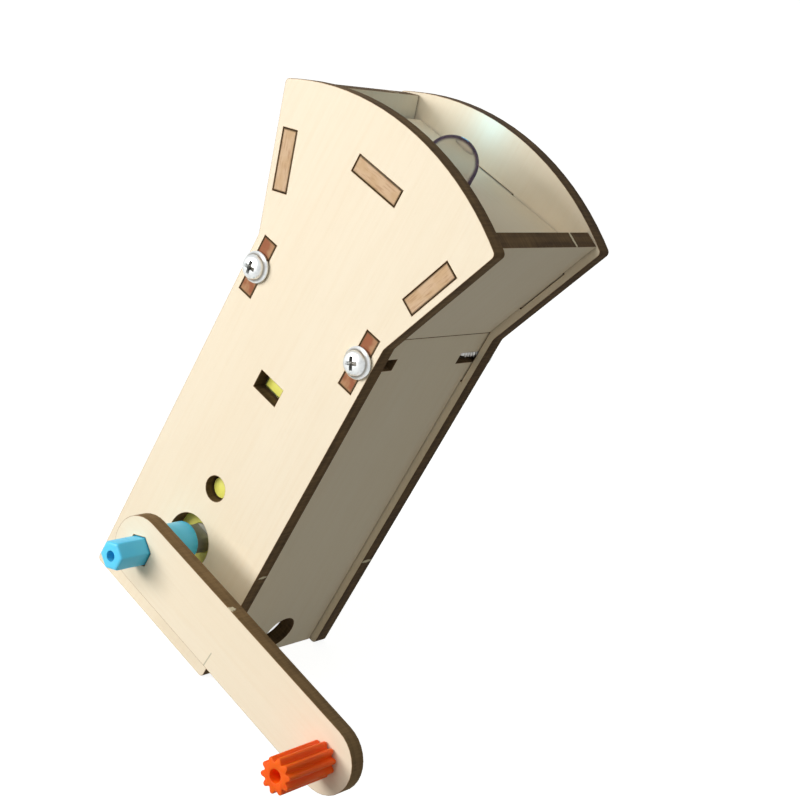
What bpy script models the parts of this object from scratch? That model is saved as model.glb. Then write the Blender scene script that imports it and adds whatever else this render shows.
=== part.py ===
"""Hand crank torch kit: a laser-cut plywood body round a small gear motor that works as a generator.

The torch stands on its open tail, +Z along its axis towards the lamp. +X points to the right-hand
strip, and the crank turns on the front plate, at -Y. The origin is the middle of the front plate's
tail edge.
"""

import math

import bmesh
import bpy
from mathutils import Matrix, Vector

MM = 0.001

# Plywood and the gaps of its joints
SHEET = 3.0 * MM
FIT = 0.15 * MM
SEAT = 0.2 * MM

# Side plates: the slots for the handle's tabs set where the neck is, and the head starts there
HANDLE_SLOT_HEIGHT = 71.0 * MM
NECK_RISE = 4.9 * MM
HEAD_RISE = 25.5 * MM
HEAD_SPREAD = 9.5 * MM
CROWN_RISE = 7.1 * MM
TIP_ROUND = 0.9 * MM
NECK_ROUND = 2.0 * MM
INSET = 1.5 * MM

# Gear motor housing, with the room between it and each strip
GEARBOX_WIDTH = 22.5 * MM
SIDE_ROOM = 1.05 * MM
GEARBOX_DEPTH = 18.8 * MM
GEARBOX_WALL = 1.6 * MM
GEARBOX_TAIL = 11.2 * MM
GEARBOX_ROUND = 2.4 * MM
STUB = 9.1 * MM
END_PLAY = 0.7 * MM

# Crank shaft, measured up from the tail, and what lines up with it
SHAFT_HEIGHT = 19.35 * MM
SHAFT_HOLE = 5.1 * MM
NUB_RISE = 12.4 * MM
NUB_HOLE = 2.4 * MM
NUB_RADIUS = 1.95 * MM
NUB_TALL = 1.5 * MM
HOOK_RISE = 35.5 * MM
HOOK_HOLE_LONG = 5.95 * MM
HOOK_HOLE_TALL = 3.6 * MM
HOOK_LONG = 4.4 * MM
HOOK_TALL = 2.2 * MM

# Tabs and slots
HANDLE_SLOT = 11.2 * MM
HEAD_SLOT = 11.0 * MM
LAMP_SLOT = 10.9 * MM
LAMP_DROP = 3.4 * MM
LANYARD_RADIUS = 3.7 * MM
LANYARD_HEIGHT = 4.9 * MM
LANYARD_SHIFT = 2.2 * MM

# Plate screws
SCREW_HEAD = 2.85 * MM
SCREW_HEAD_TALL = 2.0 * MM
SCREW_SHANK = 1.0 * MM
SCREW_REACH = 4.3 * MM
SCREW_SLOT_DEEP = 4.9 * MM
CROSS_LONG = 2.9 * MM
CROSS_WIDE = 0.62 * MM
CROSS_DEEP = 1.1 * MM

# Crank
ARM_WIDTH = 12.6 * MM
ARM_REACH = 52.0 * MM
ARM_BACK = 9.4 * MM
COUPLING_RADIUS = 3.75 * MM
COUPLING_GAP = 1.0 * MM
COUPLING_BORE = 1.0 * MM
HEX_FLATS = 4.9 * MM
HEX_TIP = 6.7 * MM
KNOB_TEETH = 10
KNOB_TIP = 3.15 * MM
KNOB_ROOT = 2.3 * MM
KNOB_LONG = 11.4 * MM
KNOB_BORE = 1.15 * MM
KNOB_SCREW_SHANK = 0.95 * MM
KNOB_SCREW_HEAD = 2.6 * MM
KNOB_SCREW_HEAD_TALL = 1.6 * MM
KNOB_SCREW_REACH = 8.0 * MM

# Gear train
MODULE = 0.45 * MM
PRESSURE_ANGLE = math.radians(20)
MOTOR_TEETH = 8
CROWN_TEETH = 32
SMALL_B_TEETH = 10
WHEEL_A_TEETH = 30
SMALL_A_TEETH = 9
OUTPUT_TEETH = 36
SHIFT = 0.4
BACKLASH = 0.055 * MM
TIP_TRIM = 0.09 * MM
GEAR_THICK = 2.1 * MM
OUTPUT_THICK = 4.4 * MM
GEAR_GAP = 0.4 * MM
CROWN_FACE = 1.0 * MM
PIN_RADIUS = 1.0 * MM
RUN = 0.12 * MM
SHAFT_RADIUS = 2.7 * MM
SHAFT_FLATS = 3.7 * MM
HUB_RADIUS = 1.9 * MM
SOCKET_DEEP = 0.9 * MM

# Motor
CAN_RADIUS = 10.05 * MM
CAN_DEPTH = 15.1 * MM
CAN_LONG = 20.2 * MM
CAN_WALL = 0.5 * MM
CAP_TALL = 4.6 * MM
MOTOR_SHAFT = 1.0 * MM
BEARING_RADIUS = 2.9 * MM
BEARING_OUT = 1.3 * MM
ARMATURE_RADIUS = 6.6 * MM
ARMATURE_LONG = 9.0 * MM
MAGNET_THICK = 1.8 * MM
MAGNET_LONG = 14.0 * MM
MAGNET_RISE = 2.0 * MM
CORE_RISE = 4.0 * MM
COMMUTATOR_RADIUS = 2.2 * MM
COMMUTATOR_LONG = 4.0 * MM
TERMINAL_OUT = 6.4 * MM
TERMINAL_TALL = 3.0 * MM
TERMINAL_WIDE = 2.0 * MM
TERMINAL_THICK = 0.5 * MM
STRAP_THICK = 0.7 * MM
STRAP_WIDE = 8.6 * MM
TONGUE_WIDE = 7.4 * MM
TONGUE_THICK = 0.9 * MM
LUG_OUT = 5.2 * MM
LUG_WIDE = 7.6 * MM
LUG_THICK = 2.6 * MM
LUG_HOLE = 1.5 * MM
BOX_SCREW_SHANK = 0.75 * MM
BOX_SCREW_HEAD = 1.9 * MM
BOX_SCREW_IN = 2.65 * MM

# Lamp
LED_RADIUS = 4.75 * MM
LED_FLANGE = 5.5 * MM
LED_FLANGE_TALL = 1.5 * MM
LED_TALL = 12.1 * MM
LEG_SIDE = 0.5 * MM
LEG_LONG = 8.5 * MM
LEG_APART = 1.27 * MM
LEAD_RADIUS = 0.6 * MM

# Places worked out from the sizes above
PLATE_HALF = GEARBOX_WIDTH / 2 + SIDE_ROOM + SHEET + INSET
NECK_HEIGHT = HANDLE_SLOT_HEIGHT + NECK_RISE
TIP_HEIGHT = NECK_HEIGHT + HEAD_RISE
TIP_HALF = PLATE_HALF + HEAD_SPREAD
CROWN_HEIGHT = TIP_HEIGHT + CROWN_RISE
LAMP_PLATE_HEIGHT = TIP_HEIGHT - LAMP_DROP
INNER_DEPTH = GEARBOX_DEPTH + STUB + END_PLAY + SEAT
FRONT_OUT = -SHEET / 2
FRONT_IN = SHEET / 2
BACK_IN = FRONT_IN + INNER_DEPTH
BACK_OUT = BACK_IN + SHEET
MIDDLE = FRONT_IN + INNER_DEPTH / 2
FLARE = math.atan2(HEAD_SPREAD, HEAD_RISE)
STRIP_TOP = HANDLE_SLOT_HEIGHT + HANDLE_SLOT / 2 - FIT
HEAD_PLATE_START = (STRIP_TOP + FIT - NECK_HEIGHT - INSET * math.sin(FLARE)) / math.cos(FLARE)
HEAD_PLATE_END = math.hypot(HEAD_SPREAD, HEAD_RISE)
HEAD_SLOT_ALONG = HEAD_PLATE_END / 2
STRIP_X = PLATE_HALF - INSET - SHEET / 2
BOX_FRONT = FRONT_IN + SEAT
BOX_BACK = BOX_FRONT + GEARBOX_DEPTH
BOX_MIDDLE = BOX_FRONT + GEARBOX_DEPTH / 2
BOX_TAIL = SHAFT_HEIGHT - GEARBOX_TAIL
AXIS_A = SHAFT_HEIGHT + MODULE * (OUTPUT_TEETH + SMALL_A_TEETH) / 2
AXIS_B = AXIS_A + MODULE * (WHEEL_A_TEETH + SMALL_B_TEETH) / 2
CROWN_MID = MODULE * CROWN_TEETH / 2
CROWN_OUTER = CROWN_MID + CROWN_FACE / 2
BOX_TOP = AXIS_B + CROWN_OUTER + GEAR_GAP + GEARBOX_WALL
CAN_BASE = BOX_TOP + SEAT
CAN_TOP = CAN_BASE + CAN_LONG
CAP_TOP = CAN_TOP + SEAT + CAP_TALL
CAN_FLAT = CAN_DEPTH / 2
ARM_FRONT_Y = FRONT_OUT - ARM_BACK - SHEET
ARM_BACK_Y = FRONT_OUT - ARM_BACK
LAMP_BACK = LAMP_PLATE_HEIGHT - SHEET / 2
ARC_STEP = math.radians(15)

for old in list(bpy.data.objects):
    bpy.data.objects.remove(old, do_unlink=True)

TORCH = bpy.data.collections.new("hand_crank_torch")
CUTTERS = bpy.data.collections.new("cutters")
bpy.context.scene.collection.children.link(TORCH)
bpy.context.scene.collection.children.link(CUTTERS)


# Materials


def finish(name, colour, roughness, metallic=0.0, alpha=1.0):
    """A Principled material with its colour, roughness and metallic value."""
    made = bpy.data.materials.new(name)
    made.use_nodes = True
    shader = made.node_tree.nodes["Principled BSDF"]
    shader.inputs["Base Color"].default_value = (*colour, 1.0)
    shader.inputs["Roughness"].default_value = roughness
    shader.inputs["Metallic"].default_value = metallic
    shader.inputs["Alpha"].default_value = alpha
    return made


PLYWOOD = finish("plywood", (0.90, 0.79, 0.60), 0.62)
YELLOW = finish("yellow_plastic", (0.86, 0.78, 0.14), 0.38)
BLUE = finish("blue_plastic", (0.12, 0.42, 0.72), 0.35)
ORANGE = finish("orange_plastic", (0.90, 0.16, 0.02), 0.38)
WHITE = finish("white_plastic", (0.86, 0.86, 0.82), 0.35)
ZINC = finish("zinc_steel", (0.72, 0.72, 0.74), 0.28, 1.0)
STEEL = finish("bright_steel", (0.62, 0.62, 0.64), 0.22, 1.0)
CORE = finish("dark_steel", (0.25, 0.25, 0.27), 0.45, 1.0)
BRASS = finish("brass", (0.78, 0.58, 0.24), 0.3, 1.0)
MAGNET = finish("magnet", (0.09, 0.09, 0.10), 0.55)
CLEAR = finish("clear_plastic", (0.86, 0.88, 0.86), 0.15, 0.0, 0.5)
RED = finish("red_lead", (0.62, 0.04, 0.03), 0.45)
BLACK = finish("black_lead", (0.03, 0.03, 0.03), 0.45)


# Shaping helpers


def place(obj, name, material=None, cutter=False):
    """Names an object and files it with the torch's pieces or with the cutters."""
    obj.name = name
    for home in list(obj.users_collection):
        home.objects.unlink(obj)
    (CUTTERS if cutter else TORCH).objects.link(obj)
    if cutter:
        obj.hide_render = True
        obj.display_type = "WIRE"
    if material:
        obj.data.materials.append(material)
    return obj


def mesh_of(name, shape):
    """A new object from a bmesh, which is then freed."""
    mesh = bpy.data.meshes.new(name)
    shape.to_mesh(mesh)
    shape.free()
    return bpy.data.objects.new(name, mesh)


def box(name, low, high, **filing):
    """A rectangular block between two opposite corners."""
    shape = bmesh.new()
    bmesh.ops.create_cube(shape, size=1.0)
    size = [abs(end - start) for start, end in zip(low, high)]
    middle = [(start + end) / 2 for start, end in zip(low, high)]
    bmesh.ops.scale(shape, vec=size, verts=shape.verts)
    bmesh.ops.translate(shape, vec=middle, verts=shape.verts)
    return place(mesh_of(name, shape), name, **filing)


def rod(name, radius, start, end, sides=32, **filing):
    """A cylinder, or a prism with few sides, between two points."""
    start, end = Vector(start), Vector(end)
    along = end - start
    shape = bmesh.new()
    turn = along.to_track_quat("Z", "Y").to_matrix().to_4x4()
    bmesh.ops.create_cone(
        shape,
        cap_ends=True,
        segments=sides,
        radius1=radius,
        radius2=radius,
        depth=along.length,
        matrix=Matrix.Translation((start + end) / 2) @ turn,
    )
    return place(mesh_of(name, shape), name, **filing)


def combine(obj, other, operation):
    step = obj.modifiers.new(other.name, "BOOLEAN")
    step.operation = operation
    step.solver = "EXACT"
    step.object = other


def cut(obj, *cutters):
    for cutter in cutters:
        combine(obj, cutter, "DIFFERENCE")


def join(obj, *others):
    for other in others:
        combine(obj, other, "UNION")


def frame_to(across, up, origin=(0, 0, 0)):
    """The placement whose local X and Y are the two directions, and local Z their cross product."""
    across, up = Vector(across).normalized(), Vector(up).normalized()
    out = across.cross(up)
    turn = Matrix((across, up, out)).transposed().to_4x4()
    return Matrix.Translation(origin) @ turn


FACING_FRONT = frame_to((1, 0, 0), (0, 0, 1))
FACING_RIGHT = frame_to((0, 1, 0), (0, 0, 1))
FACING_UP = frame_to((1, 0, 0), (0, 1, 0))


def rounded(corners):
    """Points of a closed outline whose corners (x, y, radius) are rounded."""
    points = []
    count = len(corners)
    for i, (x, y, radius) in enumerate(corners):
        here = Vector((x, y))
        before = (Vector(corners[i - 1][:2]) - here).normalized()
        after = (Vector(corners[(i + 1) % count][:2]) - here).normalized()
        if radius <= 0:
            points.append(here)
            continue
        half = before.angle(after) / 2
        centre = here + (before + after).normalized() * radius / math.sin(half)
        first = here + before * radius / math.tan(half) - centre
        last = here + after * radius / math.tan(half) - centre
        sweep = first.angle_signed(last)
        steps = max(2, round(abs(sweep) / ARC_STEP))
        for step in range(steps + 1):
            angle = -sweep * step / steps
            turned = Matrix.Rotation(angle, 2) @ first
            points.append(centre + turned)
    return points


def arc(centre, radius, start, end, steps):
    """Points along part of a circle, angles in radians."""
    return [
        Vector((
            centre[0] + radius * math.cos(start + (end - start) * i / steps),
            centre[1] + radius * math.sin(start + (end - start) * i / steps),
        ))
        for i in range(steps + 1)
    ]


def circle(centre, radius, steps=32):
    return arc(centre, radius, 0, 2 * math.pi, steps)[:-1]


def rectangle(centre, length, width, angle=0.0):
    """A rectangle of a slot, its length turned from X by an angle."""
    along = Vector((math.cos(angle), math.sin(angle))) * length / 2
    aside = Vector((-math.sin(angle), math.cos(angle))) * width / 2
    middle = Vector(centre)
    return [middle - along - aside, middle + along - aside, middle + along + aside, middle - along + aside]


def sheet(name, outlines, thickness, placement, lift=0.0, **filing):
    """A flat piece: a filled 2D curve, its first outline the edge and the rest holes, extruded both ways."""
    curve = bpy.data.curves.new(name, "CURVE")
    curve.dimensions = "2D"
    curve.fill_mode = "BOTH"
    curve.extrude = thickness / 2
    for outline in outlines:
        spline = curve.splines.new("POLY")
        spline.points.add(len(outline) - 1)
        for point, (x, y) in zip(spline.points, outline):
            point.co = (x, y, 0, 1)
        spline.use_cyclic_u = True
    obj = bpy.data.objects.new(name, curve)
    obj.matrix_world = placement @ Matrix.Translation((0, 0, lift))
    return place(obj, name, **filing)


def solid(flat, name=None, **filing):
    """A flat curve made a mesh with its caps welded, so that Booleans can work on it."""
    bpy.context.view_layer.update()
    graph = bpy.context.evaluated_depsgraph_get()
    mesh = bpy.data.meshes.new_from_object(flat.evaluated_get(graph))
    shape = bmesh.new()
    shape.from_mesh(mesh)
    bmesh.ops.remove_doubles(shape, verts=shape.verts, dist=0.002 * MM)
    bmesh.ops.recalc_face_normals(shape, faces=shape.faces)
    shape.to_mesh(mesh)
    shape.free()
    obj = bpy.data.objects.new("welded", mesh)
    obj.matrix_world = flat.matrix_world.copy()
    name = name or flat.name
    bpy.data.objects.remove(flat, do_unlink=True)
    return place(obj, name, **filing)


def turned(name, profile, placement, steps=32, **filing):
    """A turned piece: a profile of (radius, height) points, outer side from top to bottom, spun about Z."""
    shape = bmesh.new()
    ring = [shape.verts.new((radius, 0, height)) for radius, height in profile]
    for first, second in zip(ring, ring[1:] + ring[:1]):
        if first.co.x > 0 or second.co.x > 0:
            shape.edges.new((first, second))
    obj = mesh_of(name, shape)
    spin = obj.modifiers.new("turn", "SCREW")
    spin.steps = steps
    spin.render_steps = steps
    spin.use_merge_vertices = True
    spin.merge_threshold = 0.00001
    obj.matrix_world = placement
    return place(obj, name, **filing)


def facing(origin, direction):
    """A placement at a point with its local Z along a direction."""
    turn = Vector(direction).to_track_quat("Z", "Y").to_matrix().to_4x4()
    return Matrix.Translation(origin) @ turn


# Side plates


def plate_outline():
    """The torch silhouette: a straight handle, a flared head and a round front edge."""
    rise = CROWN_HEIGHT - TIP_HEIGHT
    radius = (TIP_HALF**2 + rise**2) / (2 * rise)
    centre = (0, CROWN_HEIGHT - radius)
    half = math.asin(TIP_HALF / radius)
    crown = arc(centre, radius, math.pi / 2 - half, math.pi / 2 + half, 20)[1:-1]
    corners = [(PLATE_HALF, 0, TIP_ROUND), (PLATE_HALF, NECK_HEIGHT, NECK_ROUND), (TIP_HALF, TIP_HEIGHT, TIP_ROUND)]
    left = [(-x, z, r) for x, z, r in reversed(corners)]
    return rounded(corners + [(point.x, point.y, 0) for point in crown] + left)


def head_point(along, inwards):
    """A point measured along the right flare from the neck, and inwards from its edge."""
    x = PLATE_HALF + along * math.sin(FLARE) - inwards * math.cos(FLARE)
    z = NECK_HEIGHT + along * math.cos(FLARE) + inwards * math.sin(FLARE)
    return x, z


def joint_slots():
    """The slots that both side plates have for the tabs of the cross pieces."""
    slots = [rectangle((0, LAMP_PLATE_HEIGHT), LAMP_SLOT, SHEET + 2 * FIT)]
    x, z = head_point(HEAD_SLOT_ALONG, INSET + SHEET / 2)
    for side in (1, -1):
        upright = math.pi / 2 - side * FLARE
        slots.append(rectangle((side * x, z), HEAD_SLOT, SHEET + 2 * FIT, upright))
        slots.append(rectangle((side * STRIP_X, HANDLE_SLOT_HEIGHT), SHEET + 2 * FIT, HANDLE_SLOT))
    return slots


def make_side_plates():
    motor_holes = [
        circle((0, SHAFT_HEIGHT), SHAFT_HOLE, 40),
        circle((0, SHAFT_HEIGHT + NUB_RISE), NUB_HOLE, 24),
        rectangle((0, SHAFT_HEIGHT + HOOK_RISE), HOOK_HOLE_LONG, HOOK_HOLE_TALL),
    ]
    outline = plate_outline()
    sheet("front_side_plate", [outline] + joint_slots() + motor_holes, SHEET, FACING_FRONT, material=PLYWOOD)
    sheet("back_side_plate", [outline] + joint_slots(), SHEET, FACING_FRONT, lift=-(BACK_IN + BACK_OUT) / 2, material=PLYWOOD)


# Cross pieces between the plates


EDGE = INNER_DEPTH / 2 - FIT
TAB_END = INNER_DEPTH / 2 + SHEET


def make_handle_strips():
    """Each strip has two pairs of tabs, a screw slot between the tabs of each pair, and a lanyard hole."""
    low = HANDLE_SLOT_HEIGHT - HANDLE_SLOT / 2 + FIT
    slot = SCREW_SHANK + FIT
    below, above = HANDLE_SLOT_HEIGHT - slot, HANDLE_SLOT_HEIGHT + slot
    deep = EDGE - SCREW_SLOT_DEEP
    half = [
        (EDGE, 0),
        (EDGE, low),
        (TAB_END, low),
        (TAB_END, below),
        (deep, below),
        (deep, above),
        (TAB_END, above),
        (TAB_END, STRIP_TOP),
        (EDGE, STRIP_TOP),
    ]
    outline = [Vector(p) for p in half] + [Vector((-y, z)) for y, z in reversed(half)]
    hole = circle((LANYARD_SHIFT, LANYARD_HEIGHT), LANYARD_RADIUS, 28)
    for name, side in (("right_handle_strip", 1), ("left_handle_strip", -1)):
        placement = Matrix.Translation((side * STRIP_X, MIDDLE, 0)) @ FACING_RIGHT
        sheet(name, [outline, hole], SHEET, placement, material=PLYWOOD)


def make_head_plates():
    """Each head plate leans out with the flare, and has one tab a side."""
    tab = HEAD_SLOT / 2 - FIT
    half = [
        (EDGE, HEAD_PLATE_START),
        (EDGE, HEAD_SLOT_ALONG - tab),
        (TAB_END, HEAD_SLOT_ALONG - tab),
        (TAB_END, HEAD_SLOT_ALONG + tab),
        (EDGE, HEAD_SLOT_ALONG + tab),
        (EDGE, HEAD_PLATE_END),
    ]
    outline = [Vector(p) for p in half] + [Vector((-y, s)) for y, s in reversed(half)]
    x, z = head_point(0, INSET + SHEET / 2)
    for name, side in (("right_head_plate", 1), ("left_head_plate", -1)):
        lean = frame_to((0, 1, 0), (side * math.sin(FLARE), 0, math.cos(FLARE)), (side * x, MIDDLE, z))
        sheet(name, [outline], SHEET, lean, material=PLYWOOD)


def make_lamp_bulkhead():
    """The cross plate that carries the lamp fills the head between the two head plates."""
    inner = INSET + SHEET + FIT
    along = (LAMP_BACK - NECK_HEIGHT - inner * math.sin(FLARE)) / math.cos(FLARE)
    reach = head_point(along, inner)[0] - FIT
    tab = LAMP_SLOT / 2 - FIT
    half = [(reach, -EDGE), (reach, EDGE), (tab, EDGE), (tab, TAB_END)]
    back = [Vector(p) for p in half] + [Vector((-x, y)) for x, y in reversed(half)]
    front = [Vector((-tab, -EDGE)), Vector((-tab, -TAB_END)), Vector((tab, -TAB_END)), Vector((tab, -EDGE))]
    hole = circle((0, 0), LED_RADIUS + FIT, 28)
    placement = Matrix.Translation((0, MIDDLE, LAMP_PLATE_HEIGHT)) @ FACING_UP
    sheet("lamp_bulkhead", [back + front, hole], SHEET, placement, material=PLYWOOD)


# Screws


def screw(name, seat, inwards, head, tall, shank, reach, cross=True):
    """A pan-head screw: seat is the middle of its head's underside, inwards the way it is driven."""
    point = 1.8 * shank
    brow = 0.45 * tall
    profile = [
        (0, tall),
        (0.45 * head, 0.97 * tall),
        (0.8 * head, 0.82 * tall),
        (0.97 * head, brow),
        (head, 0.15 * tall),
        (0.95 * head, 0),
        (shank, 0),
        (shank, point - reach),
        (0.25 * shank, -reach),
        (0, -reach),
    ]
    away = -Vector(inwards)
    made = turned(name, profile, facing(seat, away), 24, material=ZINC)
    if cross:
        for turn in (0, 90):
            slot = box(name + f"_cross_{turn}", (-CROSS_LONG / 2, -CROSS_WIDE / 2, tall - CROSS_DEEP),
                       (CROSS_LONG / 2, CROSS_WIDE / 2, tall + CROSS_DEEP), cutter=True)
            slot.matrix_world = facing(seat, away) @ Matrix.Rotation(math.radians(turn + 20), 4, "Z")
            cut(made, slot)
    return made


def make_plate_screws():
    for side, where in ((1, "right"), (-1, "left")):
        reach = SHEET + SEAT + SCREW_REACH
        front = (side * STRIP_X, FRONT_OUT - SEAT, HANDLE_SLOT_HEIGHT)
        back = (side * STRIP_X, BACK_OUT + SEAT, HANDLE_SLOT_HEIGHT)
        screw(f"front_screw_{where}", front, (0, 1, 0), SCREW_HEAD, SCREW_HEAD_TALL, SCREW_SHANK, reach)
        screw(f"back_screw_{where}", back, (0, -1, 0), SCREW_HEAD, SCREW_HEAD_TALL, SCREW_SHANK, reach)


# Gear shapes


def inv(angle):
    return math.tan(angle) - angle


def gear_outline(teeth, shift, gap_towards):
    """An involute spur gear's outline, with the middle of a tooth gap at the given angle."""
    pitch = MODULE * teeth / 2
    base = pitch * math.cos(PRESSURE_ANGLE)
    tip = pitch + MODULE * (1 + shift) - TIP_TRIM
    root = pitch - MODULE * (1.25 - shift)
    half_at_pitch = (math.pi / 2 + 2 * shift * math.tan(PRESSURE_ANGLE)) / teeth - BACKLASH / pitch

    def half_angle(radius):
        if radius <= base:
            return half_at_pitch + inv(PRESSURE_ANGLE)
        return half_at_pitch + inv(PRESSURE_ANGLE) - inv(math.acos(base / radius))

    flank = [root, max(root, base) + 0.2 * (tip - root), (root + 2 * tip) / 3, tip]
    flank = sorted(flank)
    points = []
    for tooth in range(teeth):
        middle = gap_towards + (tooth + 0.5) * 2 * math.pi / teeth
        rising = [(r, middle - half_angle(r)) for r in flank]
        falling = [(r, middle + half_angle(r)) for r in reversed(flank)]
        points += [Vector((r * math.cos(a), r * math.sin(a))) for r, a in rising + falling]
    return points


def ridged_outline(teeth, root, tip):
    """A long pinion's outline with straight-sided teeth, rounded a little at the tips."""
    pitch = 2 * math.pi / teeth
    shape = ((root, -0.36), (0.45 * root + 0.55 * tip, -0.25), (tip, -0.13), (tip, 0.13),
             (0.45 * root + 0.55 * tip, 0.25), (root, 0.36))
    points = []
    for tooth in range(teeth):
        for radius, share in shape:
            angle = (tooth + share) * pitch
            points.append(Vector((radius * math.cos(angle), radius * math.sin(angle))))
    return points


def upright_gear(name, outlines, z, low, high, **filing):
    """A flat gear on an axle along Y at the given height, between two depths."""
    placement = Matrix.Translation((0, (low + high) / 2, z)) @ FACING_FRONT
    return solid(sheet(name, outlines, high - low, placement, **filing), **filing)


UP = math.pi / 2
DOWN = -math.pi / 2

WALL_IN = BOX_FRONT + GEARBOX_WALL
WALL_BACK = BOX_BACK - GEARBOX_WALL
PINION_PITCH = MODULE * MOTOR_TEETH / 2
CROWN_PITCH_Y = BOX_MIDDLE - PINION_PITCH
CROWN_TIP_Y = CROWN_PITCH_Y + 0.75 * MODULE
CROWN_ROOT_Y = CROWN_PITCH_Y - MODULE * (1 + SHIFT) - SEAT
CROWN_DISC_Y = WALL_IN + GEAR_GAP
WHEEL_A_Y = CROWN_TIP_Y + GEAR_GAP
OUTPUT_Y = WHEEL_A_Y + GEAR_THICK + GEAR_GAP


def make_crown_gear():
    """The first reduction: a face gear that the motor pinion drives, with a small pinion behind it."""
    pitch = 2 * math.pi / CROWN_TEETH
    wide = MODULE * (math.pi / 2 - 2 * SHIFT * math.tan(PRESSURE_ANGLE)) - 2 * BACKLASH
    slope = math.tan(PRESSURE_ANGLE)
    at_tip = (wide / 2 - (CROWN_TIP_Y - CROWN_PITCH_Y) * slope) / CROWN_MID
    at_root = (wide / 2 + (CROWN_PITCH_Y - CROWN_ROOT_Y) * slope) / CROWN_MID
    foot = CROWN_DISC_Y + 0.2 * GEAR_THICK
    shape = bmesh.new()
    rings = []
    for tooth in range(CROWN_TEETH):
        middle = UP + tooth * pitch
        for offset, top in ((-at_root, CROWN_ROOT_Y), (-at_tip, CROWN_TIP_Y), (at_tip, CROWN_TIP_Y), (at_root, CROWN_ROOT_Y)):
            angle = middle + offset
            section = []
            for radius, y in ((CROWN_OUTER, foot), (CROWN_OUTER, top), (CROWN_OUTER - CROWN_FACE, top), (CROWN_OUTER - CROWN_FACE, foot)):
                spot = (radius * math.cos(angle), y, AXIS_B + radius * math.sin(angle))
                section.append(shape.verts.new(spot))
            rings.append(section)
    for ring, following in zip(rings, rings[1:] + rings[:1]):
        for i in range(4):
            j = (i + 1) % 4
            shape.faces.new((ring[i], ring[j], following[j], following[i]))
    bmesh.ops.recalc_face_normals(shape, faces=shape.faces)
    teeth = place(mesh_of("crown_teeth", shape), "crown_teeth", cutter=True)
    disc = rod("crown_gear_b", CROWN_OUTER + FIT, (0, CROWN_DISC_Y, AXIS_B), (0, CROWN_DISC_Y + GEAR_THICK, AXIS_B), 48, material=WHITE)
    pinion = upright_gear("crown_pinion", [gear_outline(SMALL_B_TEETH, SHIFT, DOWN)], AXIS_B,
                          CROWN_DISC_Y + 0.5 * GEAR_THICK, WHEEL_A_Y + GEAR_THICK + GEAR_GAP, cutter=True)
    hub = rod("crown_hub", HUB_RADIUS, (0, WALL_IN + SEAT, AXIS_B), (0, WALL_BACK - SEAT, AXIS_B), 24, cutter=True)
    bore = rod("crown_bore", PIN_RADIUS + RUN, (0, BOX_FRONT, AXIS_B), (0, BOX_BACK, AXIS_B), 24, cutter=True)
    join(disc, teeth, pinion, hub)
    cut(disc, bore)


def make_compound_gear():
    """The second reduction: a wheel that the crown gear's pinion drives, with its own pinion behind."""
    wheel = upright_gear("compound_gear_a", [gear_outline(WHEEL_A_TEETH, -SHIFT, UP + math.pi / WHEEL_A_TEETH)],
                         AXIS_A, WHEEL_A_Y, WHEEL_A_Y + GEAR_THICK, material=WHITE)
    pinion = upright_gear("compound_pinion", [gear_outline(SMALL_A_TEETH, SHIFT, DOWN)], AXIS_A,
                          WHEEL_A_Y + 0.5 * GEAR_THICK, WALL_BACK - SEAT, cutter=True)
    bore = rod("compound_bore", PIN_RADIUS + RUN, (0, BOX_FRONT, AXIS_A), (0, BOX_BACK, AXIS_A), 24, cutter=True)
    join(wheel, pinion)
    cut(wheel, bore)


def make_output_gear():
    """The last wheel and its shaft, moulded in one, with flats on the stub that leaves each side."""
    wheel = upright_gear("output_gear", [gear_outline(OUTPUT_TEETH, -SHIFT, UP + math.pi / OUTPUT_TEETH)],
                         SHAFT_HEIGHT, OUTPUT_Y, OUTPUT_Y + OUTPUT_THICK, material=WHITE)
    hub = rod("output_hub", SHAFT_RADIUS + GEAR_GAP, (0, OUTPUT_Y + GEAR_GAP, SHAFT_HEIGHT), (0, WALL_BACK - SEAT, SHAFT_HEIGHT), 28, cutter=True)
    shaft = rod("output_rod", SHAFT_RADIUS, (0, BOX_FRONT - STUB, SHAFT_HEIGHT), (0, BOX_BACK + STUB, SHAFT_HEIGHT), 28, cutter=True)
    join(wheel, shaft, hub)
    for name, low, high in (("front", BOX_FRONT - STUB - MM, BOX_FRONT - SEAT), ("back", BOX_BACK + SEAT, BOX_BACK + STUB + MM)):
        for side in (1, -1):
            flat = box(f"shaft_flat_{name}_{side}", (-SHAFT_RADIUS - MM, low, side * SHAFT_FLATS / 2),
                       (SHAFT_RADIUS + MM, high, side * (SHAFT_RADIUS + MM)), cutter=True)
            flat.location.z = SHAFT_HEIGHT
            cut(wheel, flat)


def make_gear_pins():
    for name, z in (("gear_pin_a", AXIS_A), ("gear_pin_b", AXIS_B)):
        low = WALL_IN - SOCKET_DEEP + SEAT
        high = WALL_BACK + SOCKET_DEEP - SEAT
        rod(name, PIN_RADIUS, (0, low, z), (0, high, z), 24, material=STEEL)


# Gearbox housing


def boss_spots():
    inset = GEARBOX_WIDTH / 2 - BOX_SCREW_IN
    return (inset, BOX_TOP - BOX_SCREW_IN), (-inset, BOX_TAIL + BOX_SCREW_IN)


def housing_outline(shrink=0.0):
    half = GEARBOX_WIDTH / 2 - shrink
    low, high = BOX_TAIL + shrink, BOX_TOP - shrink
    round_tail = max(GEARBOX_ROUND - shrink, 0.4 * MM)
    return rounded([(half, low, round_tail), (half, high, 0.4 * MM), (-half, high, 0.4 * MM), (-half, low, round_tail)])


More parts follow.
